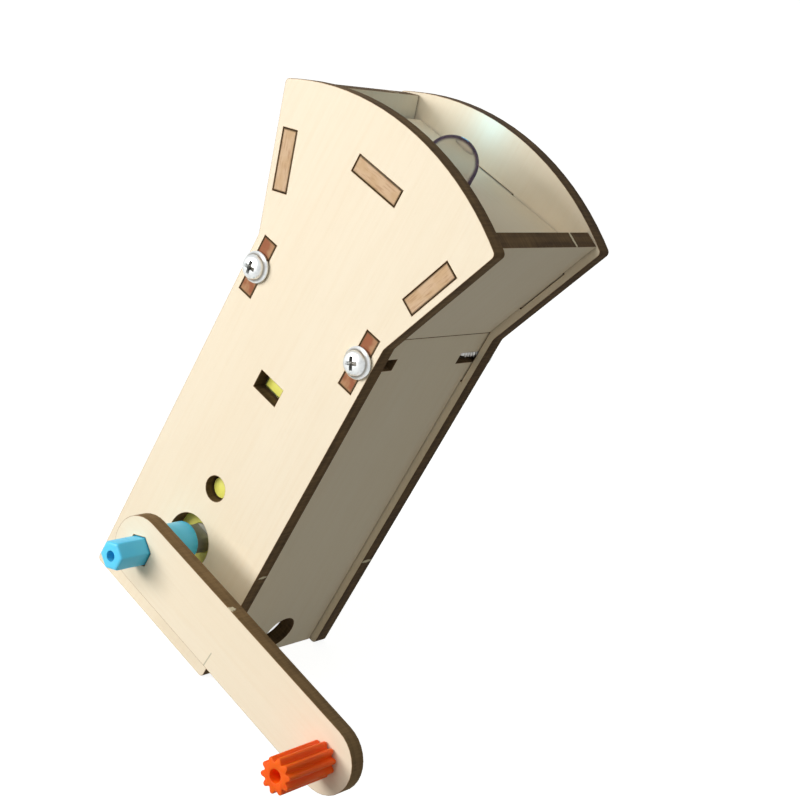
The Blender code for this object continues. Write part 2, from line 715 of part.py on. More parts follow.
def make_gearbox_half(name, outside, split, front):
    """One half of the moulded housing: an open shell with pin sockets, screw bosses and the strap's tongue."""
    into = 1 if split > outside else -1
    wall = outside + into * GEARBOX_WALL
    low, high = min(outside, split), max(outside, split)
    placement = Matrix.Translation((0, (low + high) / 2, 0)) @ FACING_FRONT
    half = solid(sheet(name, [housing_outline()], high - low, placement, material=YELLOW), material=YELLOW)
    hollow_low, hollow_high = min(wall, split + into * MM), max(wall, split + into * MM)
    hollow_at = Matrix.Translation((0, (hollow_low + hollow_high) / 2, 0)) @ FACING_FRONT
    hollow = solid(sheet(name + "_hollow", [housing_outline(GEARBOX_WALL)], hollow_high - hollow_low, hollow_at, cutter=True), cutter=True)
    cut(half, hollow)
    bosses = []
    for i, (x, z) in enumerate(boss_spots()):
        bosses.append(rod(f"{name}_boss_{i}", BOX_SCREW_SHANK + GEARBOX_WALL * 0.6, (x, outside + into * 0.5 * GEARBOX_WALL, z), (x, split, z), 20, cutter=True))
    join(half, *bosses)
    tongue_y = BOX_MIDDLE - into * (CAN_FLAT + SEAT)
    tongue_out = tongue_y - into * TONGUE_THICK
    tongue_high = SHAFT_HEIGHT + HOOK_RISE + HOOK_TALL
    tongue = box(name + "_tongue", (-TONGUE_WIDE / 2, min(tongue_y, tongue_out), BOX_TOP - 0.7 * GEARBOX_WALL),
                 (TONGUE_WIDE / 2, max(tongue_y, tongue_out), tongue_high), cutter=True)
    hook_out = outside - into * (SEAT + 0.8 * MM) if front else outside
    hook = box(name + "_hook", (-HOOK_LONG / 2, min(tongue_out + into * 0.3 * MM, hook_out), SHAFT_HEIGHT + HOOK_RISE - HOOK_TALL / 2),
               (HOOK_LONG / 2, max(tongue_out + into * 0.3 * MM, hook_out), SHAFT_HEIGHT + HOOK_RISE + HOOK_TALL / 2), cutter=True)
    join(half, tongue, hook)
    if front:
        nub = rod(name + "_nub", NUB_RADIUS, (0, outside + 0.5 * GEARBOX_WALL, SHAFT_HEIGHT + NUB_RISE),
                  (0, outside - NUB_TALL, SHAFT_HEIGHT + NUB_RISE), 24, cutter=True)
        lug = box(name + "_lug", (-LUG_WIDE / 2, split - LUG_THICK, BOX_TAIL - LUG_OUT),
                  (LUG_WIDE / 2, split, BOX_TAIL + 0.5 * GEARBOX_WALL), cutter=True)
        join(half, nub, lug)
        lug_hole = rod(name + "_lug_hole", LUG_HOLE, (0, outside, BOX_TAIL - LUG_OUT / 2), (0, split + MM, BOX_TAIL - LUG_OUT / 2), 20, cutter=True)
        cut(half, lug_hole)
    holes = [rod(name + "_shaft_hole", SHAFT_RADIUS + RUN, (0, outside - into * MM, SHAFT_HEIGHT), (0, split, SHAFT_HEIGHT), 32, cutter=True)]
    for i, z in enumerate((AXIS_A, AXIS_B)):
        holes.append(rod(f"{name}_socket_{i}", PIN_RADIUS + RUN, (0, wall - into * SOCKET_DEEP, z), (0, split, z), 24, cutter=True))
    holes.append(rod(name + "_motor_hole", BEARING_RADIUS + SEAT, (0, BOX_MIDDLE, BOX_TOP - 2 * GEARBOX_WALL), (0, BOX_MIDDLE, BOX_TOP + MM), 28, cutter=True))
    screw_end = split if front else outside
    for i, (x, z) in enumerate(boss_spots()):
        start = outside + into * GEARBOX_WALL if front else outside - into * MM
        end = split + into * MM
        holes.append(rod(f"{name}_screw_hole_{i}", BOX_SCREW_SHANK + FIT, (x, start, z), (x, end, z), 20, cutter=True))
    cut(half, *holes)


def make_gearbox():
    make_gearbox_half("gearbox_front_half", BOX_FRONT, BOX_MIDDLE - FIT / 2, True)
    make_gearbox_half("gearbox_back_half", BOX_BACK, BOX_MIDDLE + FIT / 2, False)
    reach = GEARBOX_DEPTH - 2.5 * GEARBOX_WALL
    for i, (x, z) in enumerate(boss_spots()):
        screw(f"gearbox_screw_{i + 1}", (x, BOX_BACK + SEAT, z), (0, -1, 0), BOX_SCREW_HEAD, 1.3 * MM, BOX_SCREW_SHANK, reach, cross=False)


# Motor


def can_outline(shrink=0.0):
    """A round can with two flats, seen along its shaft."""
    radius = CAN_RADIUS - shrink
    flat = CAN_FLAT - shrink
    half = math.asin(flat / radius)
    return arc((0, 0), radius, -half, half, 10) + arc((0, 0), radius, math.pi - half, math.pi + half, 10)


def motor_piece(name, outlines, low, high, **filing):
    placement = Matrix.Translation((0, BOX_MIDDLE, (low + high) / 2)) @ FACING_UP
    return sheet(name, outlines, high - low, placement, **filing)


def make_motor():
    can = solid(motor_piece("motor_can", [can_outline()], CAN_BASE, CAN_TOP, material=STEEL), material=STEEL)
    inside = solid(motor_piece("can_inside", [can_outline(CAN_WALL)], CAN_BASE + CAN_WALL, CAN_TOP + MM, cutter=True), cutter=True)
    nose = rod("can_nose_hole", BEARING_RADIUS - 2 * SEAT, (0, BOX_MIDDLE, CAN_BASE - MM), (0, BOX_MIDDLE, CAN_BASE + MM), 28, cutter=True)
    cut(can, inside, nose)
    cap_hole = circle((0, 0), MOTOR_SHAFT + SEAT, 20)
    motor_piece("motor_end_cap", [can_outline(), cap_hole], CAN_TOP + SEAT, CAP_TOP, material=WHITE)
    neck = BEARING_RADIUS - 3 * SEAT
    inner = MOTOR_SHAFT + RUN
    lip = CAN_BASE - SEAT
    profile = [
        (BEARING_RADIUS - FIT, lip),
        (BEARING_RADIUS - FIT, CAN_BASE - BEARING_OUT),
        (inner, CAN_BASE - BEARING_OUT),
        (inner, CAN_BASE + BEARING_OUT),
        (neck, CAN_BASE + BEARING_OUT),
        (neck, lip),
    ]
    turned("front_bearing", profile, Matrix.Translation((0, BOX_MIDDLE, 0)), 28, material=BRASS)
    pinion_low = AXIS_B + CROWN_MID - CROWN_FACE / 2 - GEAR_GAP
    pinion_high = CAN_BASE - BEARING_OUT - SEAT
    motor_piece("motor_pinion", [gear_outline(MOTOR_TEETH, SHIFT, DOWN), circle((0, 0), MOTOR_SHAFT + FIT / 2, 20)],
                pinion_low, pinion_high, material=BRASS)
    rod("motor_shaft", MOTOR_SHAFT, (0, BOX_MIDDLE, pinion_low), (0, BOX_MIDDLE, CAP_TOP - SEAT), 20, material=STEEL)
    core_low = CAN_BASE + CORE_RISE
    slots = armature_outline()
    motor_piece("armature", [slots, circle((0, 0), MOTOR_SHAFT + FIT / 2, 20)], core_low, core_low + ARMATURE_LONG, material=CORE)
    brush_low = core_low + ARMATURE_LONG + SEAT
    motor_piece("commutator", [circle((0, 0), COMMUTATOR_RADIUS, 24), circle((0, 0), MOTOR_SHAFT + FIT / 2, 20)],
                brush_low, brush_low + COMMUTATOR_LONG, material=BRASS)
    outer = CAN_RADIUS - CAN_WALL - SEAT
    inner = outer - MAGNET_THICK
    spread = math.asin((CAN_FLAT - CAN_WALL - 2 * SEAT) / outer)
    for name, facing_angle in (("magnet_right", 0), ("magnet_left", math.pi)):
        edge = arc((0, 0), outer, facing_angle - spread, facing_angle + spread, 10)
        back = arc((0, 0), inner, facing_angle + spread, facing_angle - spread, 10)
        magnet_low = CAN_BASE + CAN_WALL + MAGNET_RISE
        motor_piece(name, [edge + back], magnet_low, magnet_low + MAGNET_LONG, material=MAGNET)
    for name, side in (("terminal_right", 1), ("terminal_left", -1)):
        x = side * TERMINAL_OUT
        box(name, (x - TERMINAL_WIDE / 2, BOX_MIDDLE - TERMINAL_THICK / 2, CAP_TOP + SEAT),
            (x + TERMINAL_WIDE / 2, BOX_MIDDLE + TERMINAL_THICK / 2, CAP_TOP + SEAT + TERMINAL_TALL), material=BRASS)


def armature_outline():
    """Three poles with a T-shaped end, seen along the shaft."""
    points = []
    for pole in range(3):
        middle = math.pi / 2 + pole * 2 * math.pi / 3
        shoe = math.radians(50)
        stem = 1.1 * MM
        points += arc((0, 0), ARMATURE_RADIUS, middle - shoe, middle + shoe, 8)
        inner = ARMATURE_RADIUS - 1.1 * MM
        points.append(Vector((inner * math.cos(middle + shoe), inner * math.sin(middle + shoe))))
        turn = Matrix.Rotation(middle, 2)
        next_turn = Matrix.Rotation(middle + 2 * math.pi / 3, 2)
        points.append(turn @ Vector((inner - 0.7 * MM, stem)))
        points.append(turn @ Vector((2.6 * MM, stem)))
        points.append(next_turn @ Vector((2.6 * MM, -stem)))
        points.append(next_turn @ Vector((inner - 0.7 * MM, -stem)))
        ahead = middle + 2 * math.pi / 3 - shoe
        points.append(Vector((inner * math.cos(ahead), inner * math.sin(ahead))))
    return points


def make_motor_strap():
    """A clear band over the end of the motor, hooked on the housing's two tongues."""
    out = CAN_FLAT + SEAT + TONGUE_THICK + SEAT + STRAP_THICK
    inner = out - STRAP_THICK
    low = SHAFT_HEIGHT + HOOK_RISE - HOOK_TALL / 2 - 1.6 * MM
    high = CAP_TOP + SEAT + STRAP_THICK
    outline = rounded([
        (out, low, 0), (out, high, 1.2 * MM), (-out, high, 1.2 * MM), (-out, low, 0),
        (-inner, low, 0), (-inner, high - STRAP_THICK, 0.5 * MM), (inner, high - STRAP_THICK, 0.5 * MM), (inner, low, 0),
    ])
    placement = Matrix.Translation((0, BOX_MIDDLE, 0)) @ FACING_RIGHT
    strap = solid(sheet("motor_strap", [outline], STRAP_WIDE, placement, material=CLEAR), material=CLEAR)
    window = box("strap_window", (-HOOK_LONG / 2 - SEAT, BOX_FRONT - MM, SHAFT_HEIGHT + HOOK_RISE - HOOK_TALL / 2 - SEAT),
                 (HOOK_LONG / 2 + SEAT, BOX_BACK + MM, SHAFT_HEIGHT + HOOK_RISE + HOOK_TALL / 2 + SEAT), cutter=True)
    cut(strap, window)


# Crank


def on_crank(y, x=0.0):
    return x, y, SHAFT_HEIGHT


def make_coupling():
    """The blue coupling: a round body on the shaft's stub and a hexagonal tip through the arm."""
    near = FRONT_OUT - COUPLING_GAP
    shoulder = ARM_BACK_Y + SEAT
    tip = ARM_FRONT_Y - HEX_TIP
    bevel = 0.5 * MM
    length = near - shoulder
    profile = [
        (0, length),
        (COUPLING_RADIUS - bevel, length),
        (COUPLING_RADIUS, length - bevel),
        (COUPLING_RADIUS, bevel / 2),
        (COUPLING_RADIUS - bevel / 2, 0),
        (0, 0),
    ]
    body = turned("shaft_coupling", profile, facing(on_crank(shoulder), (0, 1, 0)), 36, material=BLUE)
    corner = HEX_FLATS / 2 / math.cos(math.pi / 6)
    long = shoulder + MM - tip
    prism = [(0, long), (corner - 0.5 * MM, long), (corner, long - 0.4 * MM), (corner, 0), (0, 0)]
    flats_aside = facing(on_crank(shoulder + MM), (0, -1, 0)) @ Matrix.Rotation(math.radians(30), 4, "Z")
    hex_tip = turned("coupling_tip", prism, flats_aside, 6, cutter=True)
    bore = rod("coupling_bore", COUPLING_BORE, on_crank(near + MM), on_crank(tip - MM), 20, cutter=True)
    stub_end = BOX_FRONT - STUB
    socket = rod("coupling_socket", SHAFT_RADIUS + FIT, on_crank(near + MM), on_crank(stub_end - SEAT), 28, cutter=True)
    for side in (1, -1):
        key = box(f"coupling_key_{side}", (-SHAFT_RADIUS - MM, stub_end - 2 * MM, side * (SHAFT_FLATS / 2 + FIT)),
                  (SHAFT_RADIUS + MM, near + 2 * MM, side * (SHAFT_RADIUS + MM)), cutter=True)
        key.location.z = SHAFT_HEIGHT
        cut(socket, key)
    join(body, hex_tip)
    cut(body, socket, bore)


def make_arm():
    """A straight arm with round ends, a hexagonal hole for the coupling and a round one for the knob's screw."""
    radius = ARM_WIDTH / 2
    outline = arc((ARM_REACH, 0), radius, -math.pi / 2, math.pi / 2, 16) + arc((0, 0), radius, math.pi / 2, 3 * math.pi / 2, 16)
    corner = (HEX_FLATS / 2 + FIT) / math.cos(math.pi / 6)
    hexagon = [Vector((corner * math.cos(a), corner * math.sin(a))) for a in [math.radians(30 + 60 * i) for i in range(6)]]
    hole = circle((ARM_REACH, 0), KNOB_SCREW_SHANK + SEAT, 20)
    placement = Matrix.Translation((0, (ARM_FRONT_Y + ARM_BACK_Y) / 2, SHAFT_HEIGHT)) @ FACING_FRONT
    sheet("crank_arm", [outline, hexagon, hole], SHEET, placement, material=PLYWOOD)


def make_knob():
    """The knob is a long pinion that turns with the screw that holds it from behind."""
    high = ARM_FRONT_Y - SEAT
    low = high - KNOB_LONG
    placement = Matrix.Translation((ARM_REACH, (low + high) / 2, SHAFT_HEIGHT)) @ FACING_FRONT
    outlines = [ridged_outline(KNOB_TEETH, KNOB_ROOT, KNOB_TIP), circle((0, 0), KNOB_BORE, 20)]
    sheet("crank_knob", outlines, KNOB_LONG, placement, material=ORANGE)
    reach = SHEET + 2 * SEAT + KNOB_SCREW_REACH
    screw("knob_screw", on_crank(ARM_BACK_Y + SEAT, ARM_REACH), (0, -1, 0), KNOB_SCREW_HEAD, KNOB_SCREW_HEAD_TALL, KNOB_SCREW_SHANK, reach)


# Lamp


def make_lamp():
    """A clear round lamp stands up through the bulkhead, held from below by its flange."""
    flange_low = LAMP_BACK - SEAT - LED_FLANGE_TALL
    flange_high = flange_low + LED_FLANGE_TALL
    top = flange_low + LED_TALL
    dome_steps = 9
    angles = [math.pi / 2 * (1 - i / dome_steps) for i in range(1, dome_steps + 1)]
    dome = [(LED_RADIUS * math.cos(a), top - LED_RADIUS + LED_RADIUS * math.sin(a)) for a in angles]
    foot = [(LED_RADIUS, flange_high), (LED_FLANGE, flange_high), (LED_FLANGE, flange_low), (0, flange_low)]
    turned("led_bulb", [(0, top)] + dome + foot, Matrix.Translation((0, MIDDLE, 0)), 32, material=CLEAR)
    leg_high = flange_low - SEAT
    for name, side in (("led_leg_right", 1), ("led_leg_left", -1)):
        x = side * LEG_APART
        box(name, (x - LEG_SIDE / 2, MIDDLE - LEG_SIDE / 2, leg_high - LEG_LONG),
            (x + LEG_SIDE / 2, MIDDLE + LEG_SIDE / 2, leg_high), material=ZINC)
    lead_high = leg_high - LEG_LONG - SEAT
    lead_low = CAP_TOP + 2 * SEAT + TERMINAL_TALL
    for name, side, colour in (("red_lead", 1, RED), ("black_lead", -1, BLACK)):
        start = Vector((side * TERMINAL_OUT, BOX_MIDDLE, lead_low))
        end = Vector((side * LEG_APART, MIDDLE, lead_high))
        lead(name, start, end, colour)


def lead(name, start, end, colour):
    """A short insulated lead that leaves upwards, bends across and meets the leg from below."""
    lift = Vector((0, 0, (end.z - start.z) * 0.45))
    curve = bpy.data.curves.new(name, "CURVE")
    curve.dimensions = "3D"
    curve.bevel_depth = LEAD_RADIUS
    curve.bevel_resolution = 2
    curve.use_fill_caps = True
    steps = 12
    spline = curve.splines.new("POLY")
    spline.points.add(steps)
    for i, point in enumerate(spline.points):
        t = i / steps
        a, b = start + lift, end - lift
        where = start * (1 - t)**3 + a * 3 * t * (1 - t)**2 + b * 3 * t * t * (1 - t) + end * t**3
        point.co = (*where, 1)
    place(bpy.data.objects.new(name, curve), name, material=colour)


def smooth_round_pieces():
    """Round meshes are shaded smooth, with their real edges kept sharp."""
    for obj in TORCH.objects:
        if obj.type == "MESH":
            obj.data.shade_smooth()
            obj.data.set_sharp_from_angle(angle=math.radians(35))


make_side_plates()
make_handle_strips()
make_head_plates()
make_lamp_bulkhead()
make_plate_screws()
make_gearbox()
make_output_gear()
make_compound_gear()
make_crown_gear()
make_gear_pins()
make_motor()
make_motor_strap()
make_coupling()
make_arm()
make_knob()
make_lamp()
smooth_round_pieces()
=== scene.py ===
# %% [markdown]
# # A hand crank torch, cut from plywood
#
# The real thing is a kit. A laser cuts eight pieces from 3 mm plywood. Slots, tabs and four screws
# hold seven of them together round a small yellow gear motor. The eighth is a crank arm. It turns the
# motor, which works as a generator and lights a lamp in the flared head. This lesson dresses the packed
# model: it keeps every size and joint of the frame, and gives each piece its edges, its finish and its
# small details.
#
# The first cell loads the frame. Each object in it is in metres, stands where the piece stands, and
# moves with its body, so whatever is modelled here goes where the frame says.

import math

import bpy
from mathutils import Matrix, Vector


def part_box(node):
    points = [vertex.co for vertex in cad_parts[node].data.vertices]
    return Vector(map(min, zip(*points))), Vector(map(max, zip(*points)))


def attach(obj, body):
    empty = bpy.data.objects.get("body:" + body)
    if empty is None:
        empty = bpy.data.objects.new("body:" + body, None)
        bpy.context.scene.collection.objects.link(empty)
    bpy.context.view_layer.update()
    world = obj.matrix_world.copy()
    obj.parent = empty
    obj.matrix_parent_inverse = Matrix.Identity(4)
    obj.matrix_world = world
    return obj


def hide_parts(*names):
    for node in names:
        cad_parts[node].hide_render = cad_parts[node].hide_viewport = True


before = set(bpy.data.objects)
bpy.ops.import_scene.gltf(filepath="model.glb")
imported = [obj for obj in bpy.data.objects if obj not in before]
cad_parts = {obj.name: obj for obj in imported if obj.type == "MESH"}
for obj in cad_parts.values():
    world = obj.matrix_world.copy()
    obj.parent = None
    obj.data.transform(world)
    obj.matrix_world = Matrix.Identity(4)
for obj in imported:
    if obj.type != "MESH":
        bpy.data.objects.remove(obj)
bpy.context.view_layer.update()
MM = 0.001

# %% [markdown]
# ## Camera
#
# The photograph looks at the crank side from above and to the right, with the camera rolled a third
# of a right angle, so that the torch leans to the right. The place, the three angles and the lens
# were fitted to the corners, slots and screws of the photo.

# %% Camera
CAMERA_PLACE = (144.20 * MM, -213.17 * MM, 187.00 * MM)
CAMERA_ANGLES = (61.286, -26.575, 43.316)
CAMERA_LENS = 73.9
CAMERA_NEAR = 10 * MM

photo_camera = bpy.data.objects.new("photo_camera", bpy.data.cameras.new("photo_camera"))
bpy.context.scene.collection.objects.link(photo_camera)
photo_camera.location = CAMERA_PLACE
photo_camera.rotation_euler = [math.radians(angle) for angle in CAMERA_ANGLES]
photo_camera.data.lens = CAMERA_LENS
photo_camera.data.clip_start = CAMERA_NEAR
bpy.context.scene.camera = photo_camera
print("camera", round(photo_camera.location.length / MM), "mm from the origin")

# %% [markdown]
# ## Small helpers
#
# Operators work on what is selected, and a loaded frame is selected all over. So one helper clears
# the selection and picks one piece, another selects faces by a test on their place or direction, and
# a third applies a modifier and leaves a plain mesh. Most pieces need a bevel, so it has its own.

# %% Helpers for editing
def work_on(piece):
    """Leaves one piece selected and active, in object mode."""
    if bpy.context.object and bpy.context.object.mode != "OBJECT":
        bpy.ops.object.mode_set(mode="OBJECT")
    bpy.ops.object.select_all(action="DESELECT")
    piece.select_set(True)
    bpy.context.view_layer.objects.active = piece


def edit_all(piece):
    """Opens a piece in edit mode with everything in it selected."""
    work_on(piece)
    bpy.ops.object.mode_set(mode="EDIT")
    bpy.ops.mesh.select_all(action="SELECT")


def edit_faces(piece, wanted):
    """Opens a piece in edit mode with the faces selected that pass a test. Returns their count."""
    work_on(piece)
    mesh = piece.data
    for group in (mesh.vertices, mesh.edges, mesh.polygons):
        group.foreach_set("select", [False] * len(group))
    chosen = [bool(wanted(face)) for face in mesh.polygons]
    mesh.polygons.foreach_set("select", chosen)
    bpy.context.tool_settings.mesh_select_mode = (False, False, True)
    bpy.ops.object.mode_set(mode="EDIT")
    return sum(chosen)


def close_edit():
    """Goes back to object mode and returns the piece."""
    bpy.ops.object.mode_set(mode="OBJECT")
    return bpy.context.object


def apply_modifier(piece, kind, **settings):
    """Adds one modifier with its settings and applies it."""
    work_on(piece)
    added = piece.modifiers.new(kind.lower(), kind)
    for key, value in settings.items():
        setattr(added, key, value)
    bpy.ops.object.modifier_apply(modifier=added.name)


def bevel(piece, width, angle, segments=2, clamp=True):
    """Rounds the edges that turn by more than an angle in degrees."""
    apply_modifier(piece, "BEVEL", width=width, segments=segments, limit_method="ANGLE",
                   angle_limit=math.radians(angle), use_clamp_overlap=clamp)


def settle(piece, placement=None):
    """Moves a piece to its place and puts that place into its mesh."""
    if placement is not None:
        piece.matrix_world = placement
    work_on(piece)
    bpy.ops.object.transform_apply(location=True, rotation=True, scale=True)
    return piece


def smooth(piece, angle):
    """Shades smoothly all but the edges that turn by more than an angle in degrees."""
    work_on(piece)
    bpy.ops.object.shade_smooth_by_angle(angle=math.radians(angle))


def facing(spot, direction, turn=0.0):
    """A placement at a spot, with local Z along a direction and a turn about it in degrees."""
    aim = Vector(direction).to_track_quat("Z", "Y").to_matrix().to_4x4()
    return Matrix.Translation(spot) @ aim @ Matrix.Rotation(math.radians(turn), 4, "Z")


def finish_piece(piece, name, body, slot, material, *nodes):
    """Names a piece, gives it its one material and ties it to its body and frame nodes. The slot is not used.
    """
    piece.name = name
    piece.data.materials.clear()
    piece.data.materials.append(material)
    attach(piece, body)
    if nodes:
        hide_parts(*nodes)
    return piece


# %% [markdown]
# ## Building a material from nodes
#
# Each finish below is a Principled shader with a few nodes before it. A helper adds a node, links the
# inputs that are sockets and sets the rest, so that a material reads from top to bottom.

# %% Helpers for materials
def add_node(tree, kind, inputs=None, **settings):
    """Adds a node. Inputs maps a name or number to a value or to another node's socket."""
    made = tree.nodes.new(kind)
    for key, value in settings.items():
        setattr(made, key, value)
    for key, value in (inputs or {}).items():
        if isinstance(value, bpy.types.NodeSocket):
            tree.links.new(value, made.inputs[key])
        else:
            made.inputs[key].default_value = value
    return made


def mix_colours(tree, share, first, second):
    made = add_node(tree, "ShaderNodeMix", {0: share, 6: first, 7: second}, data_type="RGBA")
    return made.outputs[2]


def object_place(tree):
    return add_node(tree, "ShaderNodeTexCoord").outputs["Object"]


def stored(tree, name):
    """A value that the mesh carries on its points."""
    return add_node(tree, "ShaderNodeAttribute", attribute_name=name).outputs["Fac"]


def vectors(tree, operation, first, second=(0, 0, 0)):
    return add_node(tree, "ShaderNodeVectorMath", {0: first, 1: second}, operation=operation).outputs


def noise(tree, vector, scale, detail=2.0, roughness=0.5):
    made = add_node(tree, "ShaderNodeTexNoise", {
        "Vector": vector, "Scale": scale, "Detail": detail, "Roughness": roughness})
    return made.outputs["Fac"]


def streaks(tree, place, fineness, detail=2.0, roughness=0.5):
    """A noise that repeats so many times a metre along each of three ways."""
    stretched = vectors(tree, "MULTIPLY", place, fineness)["Vector"]
    return noise(tree, stretched, 1.0, detail, roughness)


def remap(tree, value, low, high, to_low=0.0, to_high=1.0):
    """A smooth step from one value at low to another at high."""
    made = add_node(tree, "ShaderNodeMapRange", {
        "Value": value, "From Min": low, "From Max": high, "To Min": to_low, "To Max": to_high},
        interpolation_type="SMOOTHSTEP")
    return made.outputs["Result"]


def share_of(tree, pattern, most):
    """A noise, which seldom leaves 0.35 to 0.75, as a share from 0 to the most it may be."""
    return remap(tree, pattern, 0.35, 0.75, 0.0, most)


def sums(tree, operation, first, second=0.0, third=0.0):
    made = add_node(tree, "ShaderNodeMath", {0: first, 1: second, 2: third}, operation=operation)
    return made.outputs[0]


def vary(tree, value, pattern, amount):
    """Moves a value up and down with a pattern whose middle is 0.5."""
    return sums(tree, "MULTIPLY_ADD", sums(tree, "SUBTRACT", pattern, 0.5), amount, value)


def new_group(name, inputs, outputs):
    """An empty node group with its sockets: (name, type, default) in, (name, type) out."""
    group = bpy.data.node_groups.new(name, "ShaderNodeTree")
    for label, kind, default in inputs:
        socket = group.interface.new_socket(label, in_out="INPUT", socket_type="NodeSocket" + kind)
        if default is not None:
            socket.default_value = default
    for label, kind in outputs:
        group.interface.new_socket(label, in_out="OUTPUT", socket_type="NodeSocket" + kind)
    return group, group.nodes.new("NodeGroupInput").outputs, group.nodes.new("NodeGroupOutput")


def place_group(tree, group, inputs):
    return add_node(tree, "ShaderNodeGroup", inputs, node_tree=group).outputs


def principled(name):
    """A new material: its tree and its Principled shader."""
    made = bpy.data.materials.new(name)
    made.use_nodes = True
    return made, made.node_tree, made.node_tree.nodes["Principled BSDF"]


def bump(tree, shader, height, distance, strength):
    made = add_node(tree, "ShaderNodeBump", {"Height": height, "Distance": distance, "Strength": strength})
    tree.links.new(made.outputs["Normal"], shader.inputs["Normal"])


def dress(tree, shader, colour, outputs, distance, strength):
    """Gives a shader its colour, and a group's roughness and height."""
    tree.links.new(colour, shader.inputs["Base Color"])
    tree.links.new(outputs["Roughness"], shader.inputs["Roughness"])
    bump(tree, shader, outputs["Height"], distance, strength)


# %% [markdown]
# ## Laser-cut plywood
#
# The plywood is pale, with fine straight grain and short darker pores. The laser leaves its cut walls
# dark brown, a little lighter in the middle ply, and barely toasts the face beside the cut. The ends
# of the tabs are lighter, tan or russet, with the plies showing as fine lines.
#
# The pattern could be painted, but a node group lets every piece share it at the right scale. It
# reads a place measured along the grain, across it and through the sheet, and two values stored on
# the mesh: burn is 1 on cut walls and 0 on clean faces, and tab is 1 on the ends of the tabs. Each
# noise is named by what it draws, with how often it repeats in a metre each of the three ways.

# %% Plywood group
SHEET = 3.0 * MM
CREAM = (0.89, 0.775, 0.60, 1)
STRAW = (0.86, 0.725, 0.535, 1)
PORE = (0.70, 0.54, 0.36, 1)
TOAST = (0.60, 0.43, 0.26, 1)
RUSSET = (0.34, 0.15, 0.07, 1)
UMBER = (0.25, 0.155, 0.068, 1)
CHARRED = (0.060, 0.034, 0.015, 1)
BARE = (0.80, 0.70, 0.50, 1)
TAN = (0.56, 0.36, 0.19, 1)
GRAIN = (60, 1300, 800)
CLOUDS = (16, 70, 60)
PORES = (330, 4600, 1500)
STRIAE = (2400, 2400, 220)
CHAR_DRIFT = (120, 120, 420)
FIBRES = (420, 420, 3600)
BLOTCHES = (300, 300, 420)
GRAIN_SHARE, PORE_SHARE, CLOUD_SHARE = 0.5, 0.12, 0.4
MIDDLE_PLY = (0.42 * MM, 0.58 * MM)
DRIFT_CHAR, STRIAE_CHAR, OUTER_CHAR = 1.1, 0.7, 0.12
RAGGED_EDGE = 0.16
SCORCH_STARTS, SCORCH_FULL = 0.15, 0.65
TOAST_AT, RUSSET_AT = 0.45, 0.72
WALL_STARTS, WALL_FULL = 0.70, 0.88
FACE_ROUGH, WALL_ROUGH = 0.58, 0.82

ply_group, given, result = new_group(
    "laser_cut_plywood",
    [("Place", "Vector", None), ("Burn", "Float", 0.0), ("Tab", "Float", 0.0), ("Nick", "Float", 0.0),
     ("Char", "Float", 0.5), ("Tab Colour", "Color", TAN)],
    [("Color", "Color"), ("Roughness", "Float"), ("Height", "Float")],
)
tree = ply_group
place = given["Place"]
grain = streaks(tree, place, GRAIN, 4.0, 0.6)
pores = remap(tree, streaks(tree, place, PORES, 1.0), 0.68, 0.78)
clean = mix_colours(tree, share_of(tree, grain, GRAIN_SHARE), CREAM, STRAW)
clean = mix_colours(tree, sums(tree, "MULTIPLY", pores, PORE_SHARE), clean, PORE)
clean = mix_colours(tree, share_of(tree, streaks(tree, place, CLOUDS), CLOUD_SHARE), clean, STRAW)

striae = streaks(tree, place, STRIAE)
depth = add_node(tree, "ShaderNodeSeparateXYZ", {0: place}).outputs["Z"]
outer_ply = remap(tree, sums(tree, "ABSOLUTE", depth), *MIDDLE_PLY)
char = vary(tree, given["Char"], streaks(tree, place, CHAR_DRIFT, 3.0), DRIFT_CHAR)
char = vary(tree, char, striae, STRIAE_CHAR)
char = sums(tree, "MULTIPLY_ADD", outer_ply, OUTER_CHAR, char)
wall = mix_colours(tree, char, UMBER, CHARRED)

ragged = vary(tree, given["Burn"], striae, RAGGED_EDGE)
ramp = add_node(tree, "ShaderNodeValToRGB", {"Fac": ragged})
for stop, position, colour in zip(ramp.color_ramp.elements, (TOAST_AT, RUSSET_AT), (TOAST, RUSSET)):
    stop.position = position
    stop.color = colour
burnt = mix_colours(tree, remap(tree, ragged, WALL_STARTS, WALL_FULL), ramp.outputs["Color"], wall)
tinted = mix_colours(tree, remap(tree, ragged, SCORCH_STARTS, SCORCH_FULL), clean, burnt)

blotch = remap(tree, streaks(tree, place, BLOTCHES), 0.42, 0.62, 0.0, 0.55)
tab_end = mix_colours(tree, blotch, given["Tab Colour"], TAN)
fibres = remap(tree, streaks(tree, place, FIBRES), 0.48, 0.75, 0.0, 0.45)
tab_end = mix_colours(tree, fibres, tab_end, RUSSET)
tinted = mix_colours(tree, given["Tab"], tinted, tab_end)
bare = sums(tree, "MULTIPLY", given["Nick"], remap(tree, given["Burn"], 0.5, 0.9))
tree.links.new(mix_colours(tree, bare, tinted, BARE), result.inputs["Color"])
rough = remap(tree, ragged, 0.2, 0.9, FACE_ROUGH, WALL_ROUGH)
tree.links.new(sums(tree, "MULTIPLY_ADD", grain, 0.10, rough), result.inputs["Roughness"])
tree.links.new(sums(tree, "MULTIPLY_ADD", striae, given["Burn"], grain), result.inputs["Height"])
print("plywood group:", len(tree.nodes), "nodes")

# %% [markdown]
# Each piece of plywood lies its own way, so its material turns the object's coordinates until X runs
# along the grain and Z goes through the sheet. A nick is a place on the cut edge where the sheet was
# snapped out of its frame, so it shows bare wood. A pencil mark on the arm is a very thin slanted
# line, masked by its length and its width. Both are given in millimetres.

